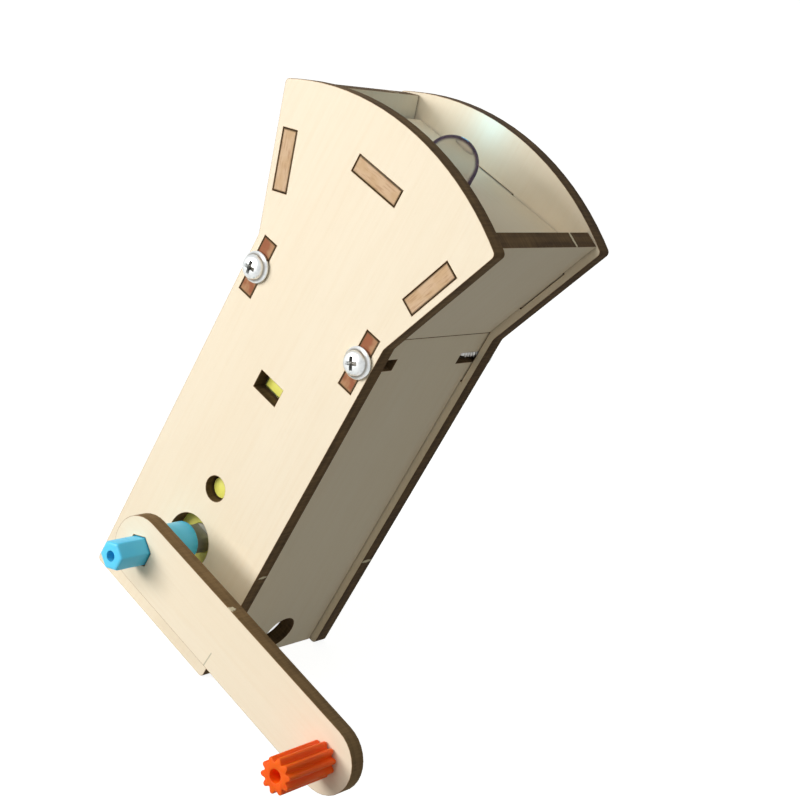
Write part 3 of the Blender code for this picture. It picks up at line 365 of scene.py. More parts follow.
# %% Plywood materials
NICK_FINENESS = 2600.0
NICK_RAGGED = 0.9
NICK_EDGE = (1.5, 1.2)
PENCIL = (0.36, 0.34, 0.23, 1)
PENCIL_SHARE = 0.6
FULL_LENGTH, FULL_WIDTH = 0.8, 0.4
PLY_SHINE = 0.25
PLY_BUMP = 0.06 * MM


def near_spot(tree, place, spot, radii):
    """A ragged mask of 1 round a spot, as large each way as its radii."""
    away = vectors(tree, "SUBTRACT", place, Vector(spot) * MM)["Vector"]
    scaled = vectors(tree, "DIVIDE", away, Vector(radii) * MM)["Vector"]
    gap = vectors(tree, "LENGTH", scaled)["Value"]
    ragged_gap = sums(tree, "MULTIPLY_ADD", noise(tree, place, NICK_FINENESS, 1.0), NICK_RAGGED, gap)
    return remap(tree, ragged_gap, *NICK_EDGE)


def pencil_line(tree, place, middle, angle, half_length, half_width):
    """A mask for a thin line on a face that looks along Y, slanted by an angle from X."""
    turned = add_node(tree, "ShaderNodeMapping", {
        "Vector": place, "Location": Vector(middle) * MM, "Rotation": (0, math.radians(-angle), 0)},
        vector_type="TEXTURE").outputs["Vector"]
    ways = add_node(tree, "ShaderNodeSeparateXYZ", {0: turned}).outputs
    half_length, half_width = half_length * MM, half_width * MM
    along = remap(tree, sums(tree, "ABSOLUTE", ways["X"]), half_length, FULL_LENGTH * half_length)
    aside = remap(tree, sums(tree, "ABSOLUTE", ways["Z"]), half_width, FULL_WIDTH * half_width)
    return sums(tree, "MULTIPLY", along, aside)


def plywood(name, middle, along, across, char, tab_colour, nicks, pencil):
    """A plywood finish for a piece with its middle, grain direction and sheet direction."""
    made, tree, shader = principled(name)
    along, across = Vector(along).normalized(), Vector(across).normalized()
    turn = Matrix((along, across.cross(along), across))
    place = object_place(tree)
    own = add_node(tree, "ShaderNodeMapping", {
        "Vector": place, "Location": -(turn @ Vector(middle)), "Rotation": turn.to_euler()}).outputs["Vector"]
    nick = 0.0
    for spot, radii in nicks:
        nick = sums(tree, "MAXIMUM", nick, near_spot(tree, place, spot, radii))
    outputs = place_group(tree, ply_group, {
        "Place": own, "Burn": stored(tree, "burn"), "Tab": stored(tree, "tab"), "Nick": nick, "Char": char,
        "Tab Colour": tab_colour})
    colour = outputs["Color"]
    for spot, angle, half_length, half_width in pencil:
        line = pencil_line(tree, place, spot, angle, half_length, half_width)
        colour = mix_colours(tree, sums(tree, "MULTIPLY", line, PENCIL_SHARE), colour, PENCIL)
    shader.inputs["Specular IOR Level"].default_value = PLY_SHINE
    dress(tree, shader, colour, outputs, PLY_BUMP, 0.5)
    return made


# %% [markdown]
# ## Cutting the plywood pieces
#
# The frame already has each sheet's true outline with its slots and holes. A copy of it keeps them.
# Its loose triangles are welded and dissolved into flat faces, then a fine bevel takes the knife edge
# off. An inset beside each cut gives the toasted line its width, and the burn value is written on the
# points by how deep they lie in the sheet. The ends of the tabs are cut walls too, but lighter, so
# they get an inset of their own and the tab value. Only the pieces between the two side plates have
# tabs. A head plate leans, so the middle of its box isn't in its sheet, and the mean of its points is
# taken instead.

# %% Helper for sheets
EDGE_BEVEL = 0.09 * MM
TOASTED = 0.25 * MM
RIM_BURN = 0.38
TAB_RIM = 0.22 * MM
WELD = 0.002 * MM
FLAT_ANGLE = math.radians(0.5)
ON_FACE = 0.01 * MM
SQUARE_ON = 0.9999


def copy_of(node):
    """A welded copy of a frame node, with flat regions joined into single faces."""
    piece = bpy.data.objects.new(node + "_copy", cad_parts[node].data.copy())
    bpy.context.scene.collection.objects.link(piece)
    work_on(piece)
    if piece.data.has_custom_normals:
        bpy.ops.mesh.customdata_custom_splitnormals_clear()
    edit_all(piece)
    bpy.ops.mesh.remove_doubles(threshold=WELD)
    bpy.ops.mesh.dissolve_limited(angle_limit=FLAT_ANGLE)
    return close_edit()


def inset_and_mark(piece, wanted, width, **values):
    """Insets the chosen faces and writes values on what lies inside the new rim."""
    if not edit_faces(piece, wanted):
        return
    bpy.ops.mesh.inset(thickness=width, use_boundary=True, use_even_offset=True)
    close_edit()
    for face in piece.data.polygons:
        if face.select:
            for corner in face.vertices:
                for name, value in values.items():
                    piece.data.attributes[name].data[corner].value = value


def laser_cut(node, across):
    """A plywood piece from a frame node, with bevelled edges and its burn and tab values."""
    piece = copy_of(node)
    bevel(piece, EDGE_BEVEL, 40, clamp=False)
    across = Vector(across).normalized()
    middle = middle_of(node)
    if node.endswith("head_plate"):
        middle = sum((point.co for point in piece.data.vertices), Vector()) / len(piece.data.vertices)
    burn = piece.data.attributes.new("burn", "FLOAT", "POINT")
    piece.data.attributes.new("tab", "FLOAT", "POINT")
    for point, mark in zip(piece.data.vertices, burn.data):
        on_face = abs((point.co - middle).dot(across)) > SHEET / 2 - ON_FACE
        mark.value = RIM_BURN if on_face else 1.0
    inset_and_mark(piece, lambda face: abs(face.normal.dot(across)) > SQUARE_ON, TOASTED, burn=0.0)
    between_plates = abs(across.y) < 0.5
    if between_plates:
        low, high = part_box(node)
        ends = (low.y + EDGE_BEVEL, high.y - EDGE_BEVEL)
        inset_and_mark(
            piece, lambda face: abs(face.normal.y) > SQUARE_ON and not ends[0] < face.center.y < ends[1],
            TAB_RIM, tab=1.0)
    edit_all(piece)
    bpy.ops.mesh.vert_connect_concave()
    close_edit()
    smooth(piece, 20)
    print(node, len(piece.data.polygons), "faces")
    return piece


# %% [markdown]
# The two side plates have the grain along the torch. The front plate has the holes for the motor, and
# the back plate is plain but for its slots. The handle strips stand square to both, and the head
# plates lean out with the flare: they spread so far to each side over the height of the head. A nick
# is given by its place and its three radii, and a pencil line by its middle, angle and half sizes.

# %% Side plates, strips, head plates and bulkhead
HEAD_SPREAD, HEAD_RISE = 9.5, 25.5
FLARE = math.atan2(HEAD_SPREAD, HEAD_RISE)
PLATE_EDGE = 16.8
RUSSET_TAB = (0.33, 0.115, 0.055, 1)
PALE_TAB = (0.64, 0.445, 0.28, 1)


def middle_of(node):
    low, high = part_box(node)
    return (low + high) / 2


def sheet_piece(node, along, across, char, tab_colour=TAN, nicks=(), pencil=(), body="torch"):
    finish = plywood("ply_" + node, middle_of(node), along, across, char, tab_colour, nicks, pencil)
    piece = laser_cut(node, across)
    return finish_piece(piece, node + "_ply", body, "plywood", finish, node)


sheet_piece("front_side_plate", (0, 0, 1), (0, 1, 0), 0.55, nicks=[
    ((PLATE_EDGE, 0.3, 24.6), (1.0, 1.1, 0.35)), ((-26.1, 0, 100.2), (1.0, 2.0, 0.4))])
sheet_piece("back_side_plate", (0, 0, 1), (0, 1, 0), 0.80, nicks=[((PLATE_EDGE, 31.8, 22), (1.0, 1.4, 0.4))])
for side, sign in (("right", 1), ("left", -1)):
    sheet_piece(f"{side}_handle_strip", (0, 0, 1), (1, 0, 0), 0.6, RUSSET_TAB)
    out = (sign * math.cos(FLARE), 0, -math.sin(FLARE))
    up = (sign * math.sin(FLARE), 0, math.cos(FLARE))
    sheet_piece(f"{side}_head_plate", up, out, 0.62, PALE_TAB,
                nicks=[((sign * 23.6, 24, 102.4), (3.0, 0.32, 3.0))])
sheet_piece("lamp_bulkhead", (1, 0, 0), (0, 0, 1), 0.6, PALE_TAB)
sheet_piece("crank_arm", (1, 0, 0), (0, 1, 0), 0.12, body="crank",
            nicks=[((22.6, -13.5, 25.65), (0.55, 1.0, 0.5))], pencil=[((23.5, -13.9, 14.6), 86, 1.9, 0.18)])

# %% [markdown]
# ## Moulded plastic
#
# The gear motor's housing, the coupling, the knob and the gears are moulded. Such plastic has an even
# colour, a faint unevenness of the surface and a soft gloss that varies a little where it has been
# handled. One group makes that, and each plastic gives its own colours.

# %% Plastic group and materials
FLOW_FINENESS = 170.0
SPECK_FINENESS = 2600.0
GLOW_DEPTH = 0.8 * MM
PLASTIC_BUMP = 0.02 * MM
MID_GREY = (0.5, 0.5, 0.5, 1)

plastic_group, given, result = new_group(
    "moulded_plastic",
    [("Place", "Vector", None), ("Colour", "Color", MID_GREY), ("Worn", "Color", MID_GREY),
     ("Gloss", "Float", 0.35)],
    [("Color", "Color"), ("Roughness", "Float"), ("Height", "Float")],
)
tree = plastic_group
flow = noise(tree, given["Place"], FLOW_FINENESS, 3.0)
speck = noise(tree, given["Place"], SPECK_FINENESS, 2.0)
shown = mix_colours(tree, share_of(tree, flow, 0.6), given["Colour"], given["Worn"])
tree.links.new(shown, result.inputs["Color"])
tree.links.new(sums(tree, "MULTIPLY_ADD", flow, 0.16, given["Gloss"]), result.inputs["Roughness"])
tree.links.new(sums(tree, "MULTIPLY_ADD", speck, 0.4, flow), result.inputs["Height"])


def plastic(name, colour, worn, gloss, subsurface=0.0, shine=0.5):
    """A moulded plastic with its main and its worn colour."""
    made, tree, shader = principled(name)
    outputs = place_group(tree, plastic_group, {
        "Place": object_place(tree), "Colour": (*colour, 1), "Worn": (*worn, 1), "Gloss": gloss})
    shader.inputs["Subsurface Weight"].default_value = subsurface
    shader.inputs["Subsurface Scale"].default_value = GLOW_DEPTH
    shader.inputs["Specular IOR Level"].default_value = shine
    dress(tree, shader, outputs["Color"], outputs, PLASTIC_BUMP, 0.5)
    return made


YELLOW = plastic("yellow_moulding", (0.84, 0.80, 0.14), (0.88, 0.84, 0.24), 0.34)
BLUE = plastic("blue_moulding", (0.085, 0.63, 0.96), (0.12, 0.67, 0.98), 0.26, 0.1)
ORANGE = plastic("orange_moulding", (1.0, 0.115, 0.002), (1.0, 0.15, 0.004), 0.40, 0.6, shine=0.25)
WHITE = plastic("white_moulding", (0.80, 0.80, 0.76), (0.74, 0.74, 0.69), 0.36, 0.15)
# Painted shade: the output gear is white nylon like the other gears, made dull grey-olive for its shaft in
# the shade of the plate's hole.
SHADED_SHAFT_PLASTIC = plastic("shaft_moulding_painted_shade", (0.42, 0.41, 0.34), (0.36, 0.35, 0.28), 0.50)
CAP_PLASTIC = plastic("cap_moulding", (0.72, 0.72, 0.69), (0.66, 0.66, 0.62), 0.42)
RED = plastic("red_insulation", (0.56, 0.020, 0.015), (0.62, 0.05, 0.04), 0.40)
BLACK = plastic("black_insulation", (0.018, 0.018, 0.020), (0.035, 0.035, 0.037), 0.40)
FERRITE = plastic("ferrite", (0.035, 0.035, 0.038), (0.06, 0.058, 0.056), 0.62)

# %% [markdown]
# ## Metals
#
# Zinc on the screws is bright and slightly cloudy, because small screws are plated loose in a barrel
# and knock against each other. The motor can is rolled sheet, with fine lines round it, and brass is
# turned. One group gives the clouds and the fine lines. In the photograph the screws have a grey ring,
# a dark cross and dark threads, so a third colour, a painted shade, lies where the mesh carries a shade
# value: in the step round the head, in the cross recess and on the threads, where shade falls.

# %% Metal group and materials
# Painted shade: the colour that darkens the screws' step, cross recess and threads.
PAINTED_SHADE = (0.20, 0.18, 0.15, 1)
METAL_CLOUDS = 900.0
METAL_BUMP = 0.01 * MM

metal_group, given, result = new_group(
    "worked_metal",
    [("Place", "Vector", None), ("Colour", "Color", MID_GREY), ("Dull", "Color", MID_GREY),
     ("Gloss", "Float", 0.25), ("Lines", "Vector", (1.0, 1.0, 1.0))],
    [("Color", "Color"), ("Roughness", "Float"), ("Height", "Float")],
)
tree = metal_group
cloud = noise(tree, given["Place"], METAL_CLOUDS, 3.0, 0.6)
lines = streaks(tree, given["Place"], given["Lines"])
tree.links.new(mix_colours(tree, remap(tree, cloud, 0.4, 0.8, 0.0, 0.7), given["Colour"], given["Dull"]),
               result.inputs["Color"])
uneven = sums(tree, "MULTIPLY_ADD", cloud, 0.14, given["Gloss"])
tree.links.new(sums(tree, "MULTIPLY_ADD", lines, 0.10, uneven), result.inputs["Roughness"])
tree.links.new(lines, result.inputs["Height"])


def metal(name, colour, dull, gloss, lines):
    """A metal with fine lines: the larger a factor of lines, the closer they lie that way."""
    made, tree, shader = principled(name)
    outputs = place_group(tree, metal_group, {
        "Place": object_place(tree), "Colour": (*colour, 1), "Dull": (*dull, 1), "Gloss": gloss,
        "Lines": lines})
    shader.inputs["Metallic"].default_value = 1.0
    # Painted shade: the colour turns to the shade colour where the mesh stores a shade value.
    shown = mix_colours(tree, stored(tree, "painted_shade"), outputs["Color"], PAINTED_SHADE)
    dress(tree, shader, shown, outputs, METAL_BUMP, 0.4)
    return made


ZINC = metal("bright_zinc", (0.76, 0.78, 0.78), (0.50, 0.52, 0.53), 0.20, (1800, 1800, 1800))
CAN_STEEL = metal("rolled_can", (0.58, 0.58, 0.59), (0.46, 0.46, 0.47), 0.24, (90, 90, 4200))
PIN_STEEL = metal("ground_pin", (0.62, 0.62, 0.63), (0.52, 0.52, 0.53), 0.18, (3000, 120, 3000))
BRASS = metal("turned_brass", (0.70, 0.50, 0.20), (0.54, 0.37, 0.14), 0.24, (200, 200, 5200))
CORE = metal("laminations", (0.20, 0.20, 0.21), (0.13, 0.13, 0.14), 0.45, (60, 60, 6000))
SOLDER = metal("solder", (0.60, 0.60, 0.61), (0.45, 0.45, 0.46), 0.30, (900, 900, 900))

# %% [markdown]
# ## Clear plastic
#
# The strap over the motor and the lamp are clear. Transmission lets light through, and a thin bump
# keeps the strap from looking like glass. In the photograph the lamp is easy to see through and has a
# dark, purplish rim. So its plastic bends light far less than the real one, and a Layer Weight node
# paints a dark shade on the rim, where the surface turns away from the eye, in place of the dark
# surroundings that the real plastic bends into view there.

# %% Clear materials
LETS_THROUGH = 0.92
RIPPLES = 420.0
RIPPLE_BUMP = 0.05 * MM
RIM_SHADE_STARTS, RIM_SHADE_FULL = 0.38, 0.58


def clear(name, colour, gloss, bends=1.5, rim=None, glow=None):
    """A clear plastic, with painted dark shade on its rim and a glow where they are given."""
    made, tree, shader = principled(name)
    ripple = noise(tree, object_place(tree), RIPPLES, 3.0)
    shader.inputs["Base Color"].default_value = (*colour, 1)
    # Painted shade: the rim colour is mixed in where the surface turns away from the eye.
    if rim:
        facing_away = add_node(tree, "ShaderNodeLayerWeight", {"Blend": 0.5}).outputs["Facing"]
        painted_rim_shade = remap(tree, facing_away, RIM_SHADE_STARTS, RIM_SHADE_FULL)
        tree.links.new(mix_colours(tree, painted_rim_shade, (*colour, 1), (*rim, 1)), shader.inputs["Base Color"])
    shader.inputs["Transmission Weight"].default_value = LETS_THROUGH
    shader.inputs["IOR"].default_value = bends
    tree.links.new(sums(tree, "MULTIPLY_ADD", ripple, 0.10, gloss), shader.inputs["Roughness"])
    bump(tree, shader, ripple, RIPPLE_BUMP, 0.3)
    if glow:
        shader.inputs["Emission Color"].default_value = (*glow[:3], 1)
        shader.inputs["Emission Strength"].default_value = glow[3]
    return made


STRAP_CLEAR = clear("strap_plastic", (0.90, 0.92, 0.90), 0.10)
# The dark purplish rim colour is painted shade, in place of the dark surroundings bent into the rim.
LENS_CLEAR = clear("lamp_lens", (0.79, 0.72, 0.66), 0.0, bends=1.03, rim=(0.13, 0.09, 0.16))
CHIP = clear("lamp_chip", (0.9, 0.95, 1.0), 0.3, glow=(0.72, 0.95, 1.0, 1.2))

# %% [markdown]
# ## Turning round pieces
#
# Screws, the coupling and the lamp are round. Spinning a profile is one way to make them. Here a
# circle is added and extruded from ring to ring, each ring moved along the axis and resized, as one
# would by hand. Rings that fall on each other are merged at the end.

# %% Helper for round pieces
MERGE = 0.001 * MM


def ring_stack(name, rings, sides):
    """A round piece about Z from (radius, height) rings."""
    radius, height = rings[0]
    bpy.ops.object.select_all(action="DESELECT")
    bpy.ops.mesh.primitive_circle_add(
        vertices=sides, radius=radius, location=(0, 0, height), fill_type="NGON")
    piece = bpy.context.object
    piece.name = name
    settle(piece)
    edit_all(piece)
    for (radius, height), (next_radius, next_height) in zip(rings, rings[1:]):
        bpy.ops.mesh.extrude_region_move(TRANSFORM_OT_translate={"value": (0, 0, next_height - height)})
        share = next_radius / radius
        bpy.ops.transform.resize(value=(share, share, 1), center_override=(0, 0, next_height))
    bpy.ops.mesh.select_all(action="SELECT")
    bpy.ops.mesh.remove_doubles(threshold=MERGE)
    bpy.ops.mesh.normals_make_consistent(inside=False)
    return close_edit()


def arc_rings(centre_radius, centre_height, radius, start, end, steps):
    """Rings along an arc, angles in degrees from the outward direction towards +Z."""
    made = []
    for i in range(steps + 1):
        angle = math.radians(start + (end - start) * i / steps)
        made.append((centre_radius + radius * math.cos(angle), centre_height + radius * math.sin(angle)))
    return made


def cut_away(piece, cutter, operation="DIFFERENCE"):
    """Cuts or joins another object, then removes it."""
    apply_modifier(piece, "BOOLEAN", object=cutter, operation=operation, solver="EXACT")
    bpy.data.objects.remove(cutter, do_unlink=True)


# %% [markdown]
# ## Self-tapping screws
#
# Four screws hold the plates, and their coarse threads show in the slots of the strips. The head is a
# low pan on a thin collar, with a cross recess. The recess is two tapered blades, cut out with a
# Boolean modifier. The thread is a triangle wound up the shank by the Screw modifier, which gives an
# even pitch. The head's profile is given in shares of its radius and its height, so that one list
# serves every size of screw. Last, a painted shade value is written into the step, the cross and below.

# %% Screw model
PAN_PROFILE = (
    (0.12, 1.0), (0.40, 0.975), (0.60, 0.90), (0.72, 0.76), (0.78, 0.55), (0.80, 0.40),
    (0.84, 0.35), (0.94, 0.30), (1.0, 0.20), (1.0, 0.08), (0.97, 0.02))
BLADE_NARROWS = (0.45, 0.7, 1)
THREAD_HALF = 0.36
THREAD_ROOT = 0.3
THREAD_STEPS = 20
NECK = 0.9 * MM
BLADE_ABOVE = 0.4 * MM
STEP_IN, STEP_OUT, STEP_LOW = 0.79, 0.86, 0.3
CROSS_OUT, CROSS_HIGH = 0.5, 0.65
# How strongly the painted shade darkens the step, the cross recess, the shank and the thread.
STEP_SHADE, CROSS_SHADE, SHANK_SHADE, THREAD_SHADE = 0.8, 0.9, 1.0, 0.45


def cross_blade(width, length, high, low, turn):
    """A blade that narrows downwards, for one arm of a cross recess."""
    bpy.ops.object.select_all(action="DESELECT")
    bpy.ops.mesh.primitive_cube_add(size=1.0, location=(0, 0, (high + low) / 2))
    blade = bpy.context.object
    blade.scale = (length, width, high - low)
    settle(blade)
    edit_faces(blade, lambda face: face.normal.z < -0.9)
    bpy.ops.transform.resize(value=BLADE_NARROWS, center_override=(0, 0, low))
    close_edit()
    return settle(blade, Matrix.Rotation(math.radians(turn), 4, "Z"))


def wind_thread(core, tip, pitch, low, high):
    """A thread ridge round Z, between two heights."""
    bpy.ops.object.select_all(action="DESELECT")
    bpy.ops.mesh.primitive_circle_add(vertices=3, radius=1.0, fill_type="NOTHING")
    ridge = bpy.context.object
    root = core - THREAD_ROOT * (tip - core)
    half = THREAD_HALF * pitch
    corners = [(root, 0, -half), (tip, 0, 0), (root, 0, half)]
    for point, corner in zip(ridge.data.vertices, corners):
        point.co = corner
    turns = max(1, int((high - low - 0.8 * pitch) / pitch))
    settle(ridge, Matrix.Translation((0, 0, low + 0.5 * pitch)))
    apply_modifier(ridge, "SCREW", axis="Z", screw_offset=pitch, iterations=turns,
                   steps=THREAD_STEPS, render_steps=THREAD_STEPS)
    edit_all(ridge)
    bpy.ops.mesh.fill_holes(sides=3)
    bpy.ops.mesh.normals_make_consistent(inside=False)
    return close_edit()


def write_painted_shade(part, head, tall, shank):
    """Writes painted shade on the step round the head's dome, the cross recess, the shank and, more lightly,
    the thread.
    """
    shade_marks = part.data.attributes.new("painted_shade", "FLOAT", "POINT")
    for point, mark in zip(part.data.vertices, shade_marks.data):
        away, height = math.hypot(*point.co.xy), point.co.z
        if height < -0.1 * MM:
            mark.value = THREAD_SHADE if away > shank else SHANK_SHADE
        elif STEP_IN * head < away < STEP_OUT * head and height > STEP_LOW * tall:
            mark.value = STEP_SHADE
        elif away < CROSS_OUT * head and 0 < height < CROSS_HIGH * tall:
            mark.value = CROSS_SHADE


def pan_screw(name, head, tall, shank, reach, thread, pitch, cross):
    """A screw with its head's underside at height 0. Head, shank and thread are radii."""
    dome = [(across * head, up * tall) for across, up in PAN_PROFILE]
    shaft = [(1.02 * shank, 0.0), (shank, -0.3 * MM), (shank, 2.0 * shank - reach),
             (0.55 * shank, 0.7 * shank - reach), (0.18 * shank, -reach)]
    piece = ring_stack(name, dome + shaft, 40)
    width, length, deep = cross
    for turn in (0, 90):
        cut_away(piece, cross_blade(width, length, tall + BLADE_ABOVE, tall - deep, turn))
    ridge = wind_thread(shank, thread, pitch, 1.6 * shank - reach, -NECK)
    for half in (piece, ridge):
        write_painted_shade(half, head, tall, shank)
    ridge.select_set(True)
    piece.select_set(True)
    bpy.context.view_layer.objects.active = piece
    bpy.ops.object.join()
    smooth(piece, 35)
    return piece


# %% [markdown]
# One screw is modelled for each size and copied, each copy with its own mesh, and put into place with
# its cross turned a little differently, as a hand leaves them.

# %% Placing the screws
def head_spot(node, outward, tall):
    """Where the underside of a screw's head is, from the screw's box and the way it faces."""
    low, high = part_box(node)
    spot = (low + high) / 2
    spot.y = (high.y - tall) if outward > 0 else (low.y + tall)
    return spot


def place_screws(model, tall, body, places):
    """Puts a copy of a screw at each frame node, facing along Y and turned so, and removes the model."""
    for node, outward, turn in places:
        piece = model.copy()
        piece.data = model.data.copy()
        bpy.context.scene.collection.objects.link(piece)
        settle(piece, facing(head_spot(node, outward, tall), (0, outward, 0), turn))
        finish_piece(piece, node + "_threaded", body, "zinc_steel", ZINC, node)
    bpy.data.objects.remove(model, do_unlink=True)


SCREW_TALL = 2.0 * MM
plate_screw = pan_screw("plate_screw", head=2.85 * MM, tall=SCREW_TALL, shank=0.78 * MM, reach=7.5 * MM,
                        thread=1.12 * MM, pitch=0.85 * MM, cross=(0.74 * MM, 2.9 * MM, 1.15 * MM))
place_screws(plate_screw, SCREW_TALL, "torch", (
    ("front_screw_left", -1, 8), ("front_screw_right", -1, 31),
    ("back_screw_left", 1, 52), ("back_screw_right", 1, 17)))

BOX_SCREW_TALL = 1.3 * MM
box_screw = pan_screw("box_screw", head=1.9 * MM, tall=BOX_SCREW_TALL, shank=0.75 * MM, reach=14.8 * MM,
                      thread=0.89 * MM, pitch=0.7 * MM, cross=(0.42 * MM, 2.0 * MM, 0.8 * MM))
place_screws(box_screw, BOX_SCREW_TALL, "torch", (("gearbox_screw_1", 1, 12), ("gearbox_screw_2", 1, 64)))

KNOB_SCREW_TALL = 1.6 * MM
knob_screw = pan_screw("arm_screw", head=2.6 * MM, tall=KNOB_SCREW_TALL, shank=0.95 * MM, reach=11.4 * MM,
                       thread=1.12 * MM, pitch=0.8 * MM, cross=(0.58 * MM, 2.8 * MM, 1.0 * MM))
place_screws(knob_screw, KNOB_SCREW_TALL, "knob", (("knob_screw", 1, 40),))

# %% [markdown]
# ## The knob
#
# The knob is an orange pinion sold by the length, pushed on a screw. Its ten teeth have round tips
# and narrow roots. A cylinder is added with many sides, and the points of its outline are then picked,
# the same one of every tooth at a time, and resized to the radius that a pinion has there.

# %% Knob
KNOB_LOW, KNOB_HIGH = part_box("crank_knob")
KNOB_MIDDLE = (KNOB_LOW + KNOB_HIGH) / 2
KNOB_LONG = KNOB_HIGH.y - KNOB_LOW.y
KNOB_TIP = 3.15 * MM
KNOB_BORE = 1.15 * MM
TOOTH_SHAPE = (0.75, 0.77, 0.83, 0.91, 0.97, 0.995, 1.0, 0.995, 0.97, 0.91, 0.83, 0.77)
TEETH = 10


def make_knob():
    sides = TEETH * len(TOOTH_SHAPE)
    bpy.ops.object.select_all(action="DESELECT")
    bpy.ops.mesh.primitive_cylinder_add(vertices=sides, radius=KNOB_TIP, depth=KNOB_LONG)
    piece = bpy.context.object
    settle(piece)
    bpy.context.tool_settings.mesh_select_mode = (True, False, False)
    for step, share in enumerate(TOOTH_SHAPE):
        if share == 1.0:
            continue
        work_on(piece)
        for point in piece.data.vertices:
            angle = math.atan2(point.co.x, point.co.y) % (2 * math.pi)
            index = round(angle / (2 * math.pi) * sides) % len(TOOTH_SHAPE)
            point.select = index == step
        for group in (piece.data.edges, piece.data.polygons):
            group.foreach_set("select", [False] * len(group))
        bpy.ops.object.mode_set(mode="EDIT")
        bpy.ops.transform.resize(value=(share, share, 1), center_override=(0, 0, 0))
        close_edit()
    bore = ring_stack("knob_bore", [(KNOB_BORE, -KNOB_LONG), (KNOB_BORE, KNOB_LONG)], 32)
    cut_away(piece, bore)
    bevel(piece, 0.16 * MM, 60)
    settle(piece, facing(KNOB_MIDDLE, (0, -1, 0)))
    smooth(piece, 40)
    return finish_piece(piece, "ridged_knob", "knob", "orange_plastic", ORANGE, "crank_knob")


make_knob()

# %% [markdown]
# ## The coupling
#
# The blue coupling slips on the motor's flatted shaft and carries the arm on a hexagonal tip. The
# body is a ring stack with rounded rims. The tip is a six-sided stack, joined on with a Boolean, and
# a bore goes through both. The socket has two flats and two rounds, like the shaft, so a block on each
# side first cuts the socket's own cutter down to its flats.

# %% Coupling
COUPLING_LOW, COUPLING_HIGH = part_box("shaft_coupling")
SHAFT_HEIGHT = 19.35 * MM
COUPLING_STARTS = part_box("crank_arm")[1].y + 0.2 * MM
COUPLING_RADIUS = 3.75 * MM
COUPLING_RIM = 0.55 * MM
HEX_ACROSS = 4.9 * MM
HEX_OVERLAP = 1.5 * MM
CENTRE_BORE = 1.0 * MM
SOCKET_RADIUS = 2.85 * MM
SOCKET_STARTS = 3.1 * MM
SOCKET_HALF = 2.0 * MM
FLAT_BLOCK = 2.0 * MM
FAR = 20 * MM


def make_coupling():
    length, radius, rim = COUPLING_HIGH.y - COUPLING_STARTS, COUPLING_RADIUS, COUPLING_RIM
    rings = [(radius - 1.4 * rim, 0)] + arc_rings(radius - rim, rim, rim, -90, 0, 4)
    rings += arc_rings(radius - rim, length - rim, rim, 0, 90, 4) + [(radius - 1.4 * rim, length)]
    body = ring_stack("coupling_body", rings, 56)
    hex_long = COUPLING_STARTS - COUPLING_LOW.y
    corner = HEX_ACROSS / 2 / math.cos(math.pi / 6)
    tip = ring_stack("coupling_hex", [(corner, HEX_OVERLAP), (corner, 0.5 * MM - hex_long),
                                      (0.94 * corner, 0.16 * MM - hex_long), (0.86 * corner, -hex_long)], 6)
    bevel(tip, 0.22 * MM, 35, segments=3)
    cut_away(body, tip, "UNION")
    cut_away(body, ring_stack("coupling_bore", [(CENTRE_BORE, -FAR), (CENTRE_BORE, FAR)], 32))
    socket = ring_stack("coupling_socket", [(SOCKET_RADIUS, SOCKET_STARTS), (SOCKET_RADIUS, FAR)], 40)
    for sign in (1, -1):
        bpy.ops.mesh.primitive_cube_add(size=1.0)
        flat = bpy.context.object
        flat.scale = (FAR / 2, FLAT_BLOCK, 2.5 * FAR)
        flat.location = (0, sign * (SOCKET_HALF + FLAT_BLOCK / 2), FAR / 2)
        settle(flat)
        cut_away(socket, flat)
    cut_away(body, socket)
    settle(body, facing((0, COUPLING_STARTS, SHAFT_HEIGHT), (0, 1, 0)))
    smooth(body, 32)
    return finish_piece(body, "blue_coupling", "crank", "blue_plastic", BLUE, "shaft_coupling")


make_coupling()

# %% [markdown]
# ## The lamp
#
# The lamp is a large clear round one. It stands up through the bulkhead and its flange is held from
# below. Inside the clear body, a small dish on one lead holds the chip and a post stands on the other,
# which is what makes a lamp look real from close by. Their rings are given in millimetres.

# %% Lamp
LAMP_LOW, LAMP_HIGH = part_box("led_bulb")
LAMP_MIDDLE = (LAMP_LOW + LAMP_HIGH) / 2
LAMP_FLANGE = (LAMP_HIGH.x - LAMP_LOW.x) / 2
LAMP_RADIUS = LAMP_FLANGE - 0.75 * MM
FLANGE_TALL = 1.5 * MM
FLANGE_ROUND = 0.12 * MM
DISH = ((0.35, 0), (0.4, 2.6), (0.8, 3.0), (0.95, 3.5), (0.8, 3.5), (0.6, 3.2), (0.1, 3.15))
POST = ((0.28, 0), (0.3, 2.4), (0.55, 2.9), (0.5, 3.4), (0.12, 3.5))
DISH_ASIDE, POST_ASIDE, INSIDE_RISE = -0.35 * MM, 1.2 * MM, 0.5 * MM


def make_lens():
    tall = LAMP_HIGH.z - LAMP_LOW.z
    rings = [(0.97 * LAMP_FLANGE, 0), (LAMP_FLANGE, FLANGE_ROUND), (LAMP_FLANGE, FLANGE_TALL - FLANGE_ROUND),
             (0.97 * LAMP_FLANGE, FLANGE_TALL), (LAMP_RADIUS + 0.08 * MM, FLANGE_TALL),
             (LAMP_RADIUS, FLANGE_TALL + 0.15 * MM)]
    rings += arc_rings(0, tall - LAMP_RADIUS, LAMP_RADIUS, 0, 87, 18)
    piece = ring_stack("lens", rings, 72)
    settle(piece, Matrix.Translation((LAMP_MIDDLE.x, LAMP_MIDDLE.y, LAMP_LOW.z)))
    smooth(piece, 40)
    return finish_piece(piece, "lamp_lens", "torch", "clear_plastic", LENS_CLEAR, "led_bulb")


